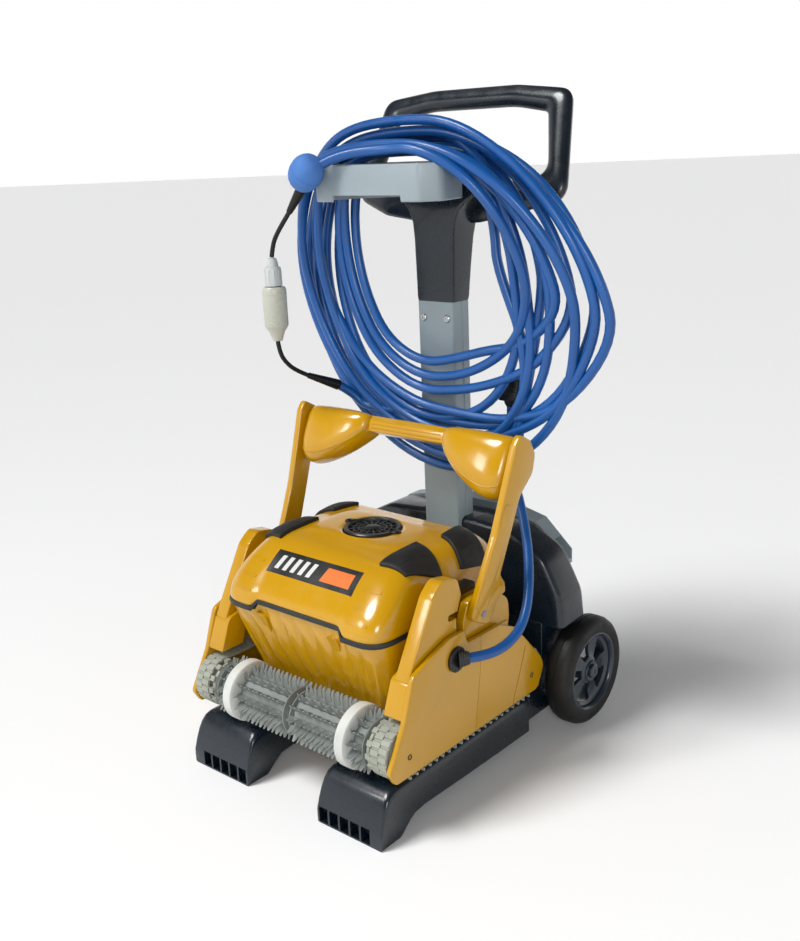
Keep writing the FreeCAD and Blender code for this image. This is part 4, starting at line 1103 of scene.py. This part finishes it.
# Sections up the neck: height, half width, front, rear.
NECK = [
    (771.4, 40, 126.4, 176), (778, 41, 126, 177), (830, 42, 126, 183), (880, 43.5, 126, 190),
    (905, 46, 126, 195), (925, 54, 127, 197), (938, 66, 129, 199), (948, 80, 132, 201), (956, 86, 136, 203),
    (1002, 86, 140, 204),
]


def neck():
    """The dark upper mast, which widens into the handle's foot."""
    rings = []
    for z, half, front, rear in NECK:
        plan = arc_corners([(-half, front), (half, front), (half, rear), (-half, rear)], 8, 5)
        rings.append([mm(x, y, z) for x, y in plan])
    stand_in("neck", loft(rings), DARK, 40)


# The handle's outline and its opening, across and up in its own leaned plane, with corner radii.
LOOP_OUTER = [
    (229, 10, 34), (201, 196, 32), (90, 209, 200), (-90, 209, 200), (-201, 196, 32), (-229, 10, 34),
    (-150, -22, 60), (-60, -34, 20), (60, -34, 20), (150, -22, 60),
]
LOOP_INNER = [
    (184, 52, 30), (159, 156, 14), (90, 169, 200), (-90, 169, 200), (-159, 156, 14), (-184, 52, 30),
    (-120, 44, 30), (-60, 42, 20), (60, 42, 20), (120, 44, 30),
]
# The bar's section: share of the way from outline to opening, and depth.
LOOP_SECTION = [
    (0.0, 13), (0.12, 3.5), (0.5, 0.2), (0.62, 0.6), (0.9, 5.5), (1.0, 13), (0.9, 23), (0.6, 27.6),
    (0.35, 27.6), (0.1, 23.5),
]


def trolley_handle():
    """The carrying loop: a bar of rounded section with a ridge along its front."""
    outer = arc_corners(LOOP_OUTER, 30, 8)
    inner = arc_corners(LOOP_INNER, 20, 8)
    rings = []
    for a, b in zip(outer, inner):
        ring = []
        for share, deep in LOOP_SECTION:
            across, up = Vector(a).lerp(Vector(b), share)
            ring.append(mm(across, deep, up))
        rings.append(ring)
    bm = loft(rings + rings[:1], caps=False)
    turn = Matrix.Translation(mm(0, 175, 936)) @ Matrix.Rotation(math.radians(-21), 4, "X")
    bmesh.ops.transform(bm, matrix=turn, verts=bm.verts)
    stand_in("trolley_handle", bm, DARK, 50, 1)


def hook_tray():
    """The hook: a shallow tray turned over, with a notch along its front edge."""
    plan = mirrored([(108, -40.8, 14), (134.8, -13, 18), (113, 67, 40), (46, 126.6, 3)])
    outside = slab(arc_corners(plan, 10, 6), "Z", 950, 1008, 5, 4, 40)
    hollow = mirrored([(106, -37, 12), (131, -11, 14), (109, 67, 30), (42, 118, 3)])
    inside = prism(arc_corners(hollow, 10, 5), "Z", 940, 1003)
    tray = carved(outside, inside)
    notch = prism([(-74, 940), (74, 940), (72, 960.5), (-72, 960.5)], "Y", -60, -30)
    tray = carved(tray, notch)
    merge(tray, slab(mirrored([(70, -36.8), (70, -34.8)]), "Z", 961, 1003, 0.3, 1))
    stand_in("hook_tray", tray, GREY, 35)


WHEEL = (0, 217, 101)
TREAD = [
    (227, 72.5), (225.3, 77), (225, 86), (227, 92), (232, 97.5), (240, 100.6), (248.5, 101), (249, 99.8),
    (251, 99.8), (251.5, 101), (260, 100.6), (268, 97.5), (273, 92), (275, 86), (274.6, 84), (275, 82),
    (274.7, 77), (273, 72.5),
]
# The disc's rings from hub to lip: radius, outer face. The windows between the spokes lie in the middle rows.
DISC = [(19, 266), (23, 264.5), (26, 262), (37, 260), (49, 259.5), (60, 260), (63, 262), (67, 265)]
DISC_STEPS = 100
DISC_DEPTH = 7
SPOKES = 5


def in_spoke(row, step):
    """Whether a face of the wheel's disc is solid: the windows narrow towards the hub."""
    place = (step + 0.5) / DISC_STEPS * SPOKES % 1
    edge = 0.22 + 0.02 * (4 - row)
    return row in (0, 1, 5, 6) or not edge < place < 0.78 - 0.02 * (4 - row)


def wheel(side):
    """A tyre with a grooved tread and round shoulders, a rim lip, five broad spokes and a hub."""
    sign = SIDES[side]
    tyre = turned("X", WHEEL, TREAD + TREAD[:1], 96, caps=False)
    stand_in(f"tyre_{side}", flipped(tyre, sign), TYRE, 35)
    lip = [(227, 72.4), (273, 72.4), (273.4, 70), (271, 67), (266, 65.5), (236, 65.5), (229, 68)]
    rim = turned("X", WHEEL, lip + lip[:1], 96, caps=False)
    skins = []
    for depth in (0, DISC_DEPTH):
        circles = [ring_points("X", (x - depth, *WHEEL[1:]), radius, DISC_STEPS) for radius, x in DISC]
        skins.append([[rim.verts.new(point) for point in circle] for circle in circles])
    front, back = skins
    for n in range(len(DISC) - 1):
        for k in range(DISC_STEPS):
            if not in_spoke(n, k):
                continue
            m = (k + 1) % DISC_STEPS
            rim.faces.new((front[n][k], front[n][m], front[n + 1][m], front[n + 1][k]))
            rim.faces.new((back[n][k], back[n + 1][k], back[n + 1][m], back[n][m]))
            if n > 0 and not in_spoke(n - 1, k):
                rim.faces.new((front[n][k], back[n][k], back[n][m], front[n][m]))
            if n + 1 < len(DISC) - 1 and not in_spoke(n + 1, k):
                rim.faces.new((front[n + 1][k], front[n + 1][m], back[n + 1][m], back[n + 1][k]))
            if not in_spoke(n, (k - 1) % DISC_STEPS):
                rim.faces.new((front[n][k], front[n + 1][k], back[n + 1][k], back[n][k]))
            if not in_spoke(n, m):
                rim.faces.new((front[n][m], back[n][m], back[n + 1][m], front[n + 1][m]))
    merge(rim, turned("X", WHEEL, [(228, 20.6), (262, 20.6), (267, 20.2), (269, 18.5), (269, 13.4)], 48))
    stand_in(f"rim_{side}", flipped(rim, sign), RIM, 35)


def axle_caps():
    """The round caps on the axle's ends."""
    bm = bmesh.new()
    for sign in SIDES.values():
        cap = turned("X", WHEEL, [(269.6, 13), (273, 13), (274.6, 11), (275, 8), (275, 3), (273.6, 2.4)], 40)
        merge(bm, flipped(cap, sign))
    stand_in("axle_caps", bm, RIM, 40)


# ---- on the cable -----------------------------------------------------------------------------------------
def float_ball():
    """The foam ball on the cable, a little long along it, with its moulding seam and end collars."""
    centre = mm(-100, -70.5, 998)
    along = (mm(-158, -58, 935) - mm(-84, -62, 1008)).normalized()
    side = along.orthogonal().normalized()
    up = along.cross(side)
    half = [(1.0, 28), (7, 27.6), (14, 25.8), (21, 22), (26, 17.5), (29, 13), (30, 9)]
    seam = [(-0.5, 27.3), (0.5, 27.3)]
    rings = []
    for distance, radius in [(-distance, radius) for distance, radius in reversed(half)] + seam + half:
        rings.append([centre + along * distance * MM + (side * math.cos(t) + up * math.sin(t)) * radius * MM
                      for t in angles(40)])
    return stand_in("ball_float", loft(rings), FOAM, 40)


def swivel():
    """The swivel: a pale capsule with a stepped collar below and a grey cap that turns on top."""
    x, y = -219, -48
    body = turned("Z", (x, y, 0), [
        (712.4, 5.4), (712.4, 9), (718, 10.5), (728, 14), (736, 19.4), (740, 21.2), (800, 21.2),
        (804, 20.6), (807, 18), (807.8, 12)], 56)
    for z in (744, 750, 794):
        merge(body, turned("Z", (x, y, z), [(0, 20.9), (0.4, 21.5), (1.6, 21.5), (2, 20.9)], 56))
    body = stand_in("swivel_body", body, CREAM, 40)
    cap = turned("Z", (x, y, 0), [
        (808.5, 12), (809, 15.2), (838, 14.4), (841, 13), (842, 10.5), (850, 9.4), (856, 7.4), (856.8, 5)], 56)
    for turn in angles(10):
        place = (x + 14.4 * math.cos(turn), y + 14.4 * math.sin(turn), 0)
        merge(cap, turned("Z", place, [(811, 1.0), (836, 0.9)], 8))
    cap = stand_in("swivel_cap", cap, CAP, 40)
    return body, cap


def sleeve(label, start, end):
    """A tapered ribbed sleeve, from a thin black tail to the thick blue cable."""
    a, b = mm(*start), mm(*end)
    steps = 22
    path = [a.lerp(b, n / steps) for n in range(steps + 1)]
    widths = [(5.2 + 4.6 * n / steps + (0.5 if n % 2 else -0.2)) * MM for n in range(steps + 1)]
    return stand_in("cable_sleeves", tube_mesh(path, widths, 24), LEAD_BLACK, 40, name=label)


def plug():
    """The moulded connector at the supply end: a grip with ribs, a collar and a strain relief."""
    body = slab(rounded_box((131, 123), (177, 147), 9, 6), "Z", 610, 649.5, 3, 3, 40)
    for z in range(616, 644, 5):
        merge(body, slab(rounded_box((130.3, 122.3), (177.7, 147.7), 9, 6), "Z", z, z + 2.2, 0.6, 1, 40))
    merge(body, turned("Z", (154, 135, 0), [(600.5, 9), (606, 12), (612, 13)], 32))
    return stand_in("plug", body, BLACK, 40)


SUPPLY_TURNS = [(0.62, 0.72, 0.52, 104, 12), (0.82, 0.92, 0.80, 110, 8)]


def tails(cap, body, connector):
    """The two thin black tails at the swivel, and the supply cable that goes back into the coil."""
    upper = sleeve("sleeve_upper", UPPER_TAIL[0], (-117, -61, 979))
    lower = sleeve("sleeve_lower", LOWER_TAIL[-1], (-190, 70, 613))
    sizes = (
        ("tail_upper", UPPER_TAIL, 0.100, "fitting", [upper, cap]),
        ("tail_lower", LOWER_TAIL, 0.100, "fitting", [body, lower]),
    )
    for label, points, length, end, pieces in sizes:
        tail = show(f"{label}_cord", nurbs(points, f"{label}_cord"))
        tail.data.bevel_depth = LEAD_RADIUS
        tail.data.bevel_resolution = 6
        tail.data.use_fill_caps = True
        tail.data.materials.append(LEAD_BLACK)
        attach(tail, "trolley")
        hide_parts(label)
    start = [(-190, 70, 613), (-176, 92, 596), (-150, 104, 566)]
    into_plug = [(112, 112, 548), (142, 122, 546), (154, 133, 562), (154, 135, 582), (154, 135, 603)]
    points = start + coil_points(SUPPLY_TURNS, 12, 13) + into_plug
    line = route_line(points)
    supply = add_piece("supply_cable", tube_mesh(line, CABLE_RADIUS), CABLE, "trolley", 60)
    length = sum((b - a).length for a, b in zip(line, line[1:]))


bpy.context.scene.view_settings.view_transform = "Standard"
camera()
studio()
paint_frame()
ball = float_ball()
floating_cable()
swivel_body, swivel_cap = swivel()
tails(swivel_cap, swivel_body, plug())
cover = lid()
cover_surface = surface_of(cover)
pads(cover_surface)
label(cover_surface)
cheek_ledges(cover_surface)
grille()
gasket()
tub()
gland()
panel_screws()
handle()
trolley_base()
column()
neck()
trolley_handle()
hook_tray()
axle_caps()
for side in SIDES:
    side_panel(side)
    track(side)
    float_block(side)
    fork(side)
    wheel(side)
    for place in ("front", "rear"):
        brush(place, side)
